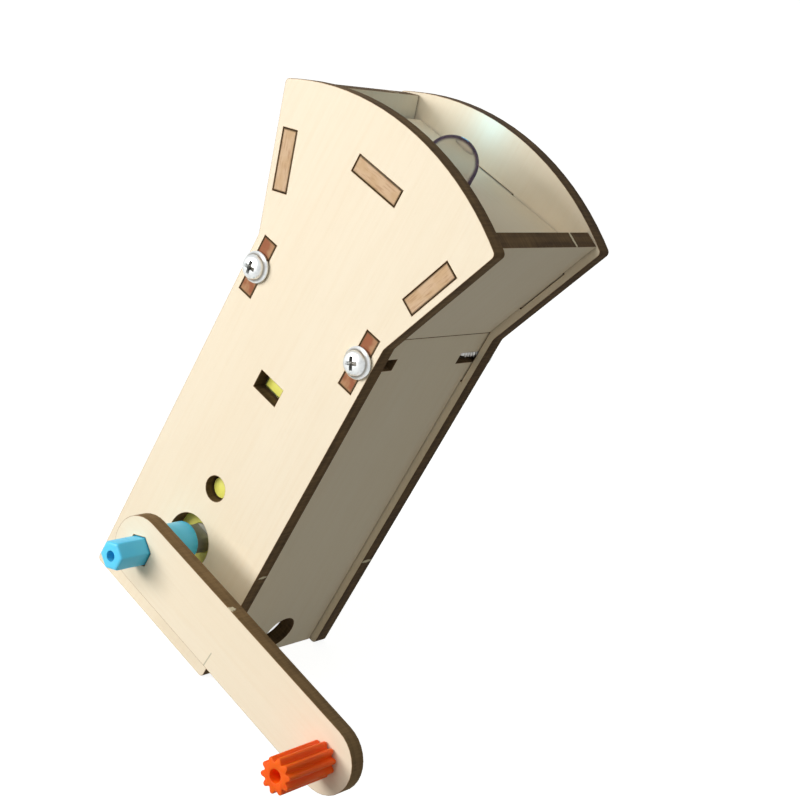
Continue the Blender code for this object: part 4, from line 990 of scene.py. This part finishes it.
def make_inside(name, rings, aside, sides, material):
    piece = ring_stack(name, [(radius * MM, height * MM) for radius, height in rings], sides)
    settle(piece, Matrix.Translation((LAMP_MIDDLE.x + aside, LAMP_MIDDLE.y, LAMP_LOW.z + INSIDE_RISE)))
    finish_piece(piece, name, "torch", "zinc_steel", material)


make_lens()
make_inside("lamp_dish", DISH, DISH_ASIDE, 24, CHIP)
make_inside("lamp_post", POST, POST_ASIDE, 16, ZINC)

# %% [markdown]
# ## Leads
#
# Two short leads join the motor's terminals to the lamp's legs. Each is a tube along a smooth curve,
# straight up out of the terminal and straight up into the leg, with a bead of solder at both ends.

# %% Leads
LEAD_RADIUS = 0.6 * MM
LEAD_STEPS = 24
LEAD_LIFT = 0.45
BEAD_RADIUS = 0.75 * MM
BEAD_FLAT = 0.9


def lead_path(start, end):
    """Points of a curve that leaves and arrives upright."""
    lift = Vector((0, 0, LEAD_LIFT * (end.z - start.z)))
    first, last = start + lift, end - lift
    points = []
    for i in range(LEAD_STEPS + 1):
        t = i / LEAD_STEPS
        u = 1 - t
        points.append(start * u**3 + first * 3 * t * u**2 + last * 3 * t**2 * u + end * t**3)
    return points


def make_lead(node, colour, side):
    """A lead between the terminal and the lamp's leg of one side."""
    low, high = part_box(node)
    terminal = middle_of("terminal_" + side)
    leg = middle_of("led_leg_" + side)
    start = Vector((terminal.x, terminal.y, low.z))
    end = Vector((leg.x, leg.y, high.z))
    points = lead_path(start, end)
    bpy.ops.object.select_all(action="DESELECT")
    bpy.ops.curve.primitive_bezier_curve_add()
    piece = bpy.context.object
    curve = piece.data
    curve.splines.clear()
    spline = curve.splines.new("POLY")
    spline.points.add(len(points) - 1)
    for point, spot in zip(spline.points, points):
        point.co = (*spot, 1)
    curve.bevel_depth = LEAD_RADIUS
    curve.bevel_resolution = 5
    curve.use_fill_caps = True
    work_on(piece)
    bpy.ops.object.convert(target="MESH")
    piece = bpy.context.object
    edit_all(piece)
    bpy.ops.mesh.remove_doubles(threshold=MERGE)
    close_edit()
    smooth(piece, 50)
    finish_piece(piece, node + "_tube", "torch", node, colour, node)
    for label, spot in (("low", start), ("high", end)):
        bead = ring_stack("bead", arc_rings(0, 0, BEAD_RADIUS, -80, 80, 8), 20)
        settle(bead, Matrix.Translation(spot) @ Matrix.Diagonal((1, 1, BEAD_FLAT, 1)))
        smooth(bead, 60)
        finish_piece(bead, f"{node}_solder_{label}", "torch", "zinc_steel", SOLDER)


make_lead("red_lead", RED, "right")
make_lead("black_lead", BLACK, "left")

# %% [markdown]
# ## The motor and its housing
#
# Most of the motor is hidden, but its yellow housing shows through three holes of the front plate and
# from the open tail. A copy of each half gets soft moulded edges. The gears, pins and the inside of
# the motor keep the frame's shape, which is already true to size, and get their finishes.

# %% Housing and motor
def softened(node, width, name, slot, material):
    """A copy of a frame node with soft edges, under a name of its own."""
    piece = copy_of(node)
    bevel(piece, width, 40)
    smooth(piece, 35)
    finish_piece(piece, name, "torch", slot, material, node)


for half in ("front", "back"):
    node = f"gearbox_{half}_half"
    softened(node, 0.18 * MM, node + "_moulded", "yellow_plastic", YELLOW)
softened("motor_strap", 0.12 * MM, "strap_band", "clear_plastic", STRAP_CLEAR)
softened("motor_can", 0.10 * MM, "pressed_can", "bright_steel", CAN_STEEL)
softened("motor_end_cap", 0.3 * MM, "end_cap", "white_plastic", CAP_PLASTIC)
for side in ("right", "left"):
    softened(f"terminal_{side}", 0.1 * MM, f"terminal_{side}_tag", "brass", BRASS)
    softened(f"led_leg_{side}", 0.06 * MM, f"lamp_leg_{side}", "zinc_steel", ZINC)

# The output gear's grey-olive plastic is painted shade on white nylon.
KEPT = {
    "output_gear": SHADED_SHAFT_PLASTIC, "compound_gear_a": WHITE, "crown_gear_b": WHITE, "gear_pin_a": PIN_STEEL,
    "gear_pin_b": PIN_STEEL, "motor_shaft": PIN_STEEL, "front_bearing": BRASS, "motor_pinion": BRASS,
    "commutator": BRASS, "armature": CORE, "magnet_right": FERRITE, "magnet_left": FERRITE,
}
for node, material in KEPT.items():
    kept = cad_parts[node]
    kept.data.materials.clear()
    kept.data.materials.append(material)

# %% [markdown]
# ## Floor, light and world
#
# The photograph is lit softly from the front left and above, so the front plate is bright and the
# right-hand strip is in half shade. A wide low light gives soft shadows and leaves the head's recess
# in shade, a weaker one above it reaches in there, and a pale world fills the rest. Each light has a
# name, a place and a width and height in millimetres, and a strength, and both face the middle of the
# torch. The lamp is lit in the photograph and throws a little cool light on the back plate, so a weak
# point light stands there. The floor stays white to the camera and keeps the torch's shadow.

# %% Floor and light
LIGHTS = (
    ("low_window", (-330, -520, 106), (420, 200), 3.0),
    ("high_window", (-190, -520, 400), (300, 300), 0.85),
)
AIM_HEIGHT = 60 * MM
WORLD_FILL = 0.29
FILL_COLOUR = (0.97, 1.0, 0.93, 1)
WHITE_LIGHT = (1, 1, 1, 1)
FLOOR_SIZE = 6.0
FLOOR_GREY = (0.52, 0.52, 0.52, 1)
FLOOR_GLOW = 0.87
SHINE_PLACE = (-5.5, 25.2, 107.8)
SHINE_COLOUR = (0.08, 0.62, 1.0)
SHINE_POWER = 0.00075
SHINE_RADIUS = 1.5 * MM


def seen_by_eye(tree):
    """1 where the camera, a mirror or clear plastic looks, 0 where light falls on the torch."""
    path = add_node(tree, "ShaderNodeLightPath").outputs
    return sums(tree, "MAXIMUM", path["Is Camera Ray"],
                sums(tree, "MAXIMUM", path["Is Glossy Ray"], path["Is Transmission Ray"]))


def make_floor():
    bpy.ops.object.select_all(action="DESELECT")
    bpy.ops.mesh.primitive_plane_add(size=FLOOR_SIZE, location=(0, 0, 0))
    floor = bpy.context.object
    floor.name = "floor"
    made, tree, shader = principled("pale_floor")
    tree.nodes.remove(shader)
    matt = add_node(tree, "ShaderNodeBsdfDiffuse", {"Color": FLOOR_GREY}).outputs[0]
    glow = add_node(tree, "ShaderNodeEmission", {
        "Color": WHITE_LIGHT, "Strength": sums(tree, "MULTIPLY", seen_by_eye(tree), FLOOR_GLOW)}).outputs[0]
    both = add_node(tree, "ShaderNodeAddShader", {0: matt, 1: glow}).outputs[0]
    tree.links.new(both, tree.nodes["Material Output"].inputs["Surface"])
    floor.data.materials.append(made)


def new_light(name, kind, place, energy):
    light = bpy.data.objects.new(name, bpy.data.lights.new(name, kind))
    bpy.context.scene.collection.objects.link(light)
    light.location = Vector(place) * MM
    light.data.energy = energy
    return light


def make_light():
    for name, place, (wide, tall), strength in LIGHTS:
        window = new_light(name, "AREA", place, strength)
        aim = window.location - Vector((0, 0, AIM_HEIGHT))
        window.rotation_euler = aim.to_track_quat("Z", "Y").to_euler()
        window.data.shape = "RECTANGLE"
        window.data.size = wide * MM
        window.data.size_y = tall * MM
        window.visible_camera = False
    shine = new_light("lamp_shine", "POINT", SHINE_PLACE, SHINE_POWER)
    shine.data.color = SHINE_COLOUR
    shine.data.shadow_soft_size = SHINE_RADIUS
    world = bpy.data.worlds.new("pale_world")
    bpy.context.scene.world = world
    world.use_nodes = True
    tree = world.node_tree
    seen = seen_by_eye(tree)
    strength = sums(tree, "MULTIPLY_ADD", seen, 1.0 - WORLD_FILL, WORLD_FILL)
    tree.links.new(strength, tree.nodes["Background"].inputs["Strength"])
    colour = mix_colours(tree, seen, FILL_COLOUR, WHITE_LIGHT)
    tree.links.new(colour, tree.nodes["Background"].inputs["Color"])


make_floor()
make_light()
bpy.context.scene.view_settings.view_transform = "Standard"

# %% [markdown]
# ## Last update
#
# The dressed model has to fill the same box as the frame. The last cell updates the view layer, so
# that every piece's place is up to date.

# %% Last update
bpy.context.view_layer.update()
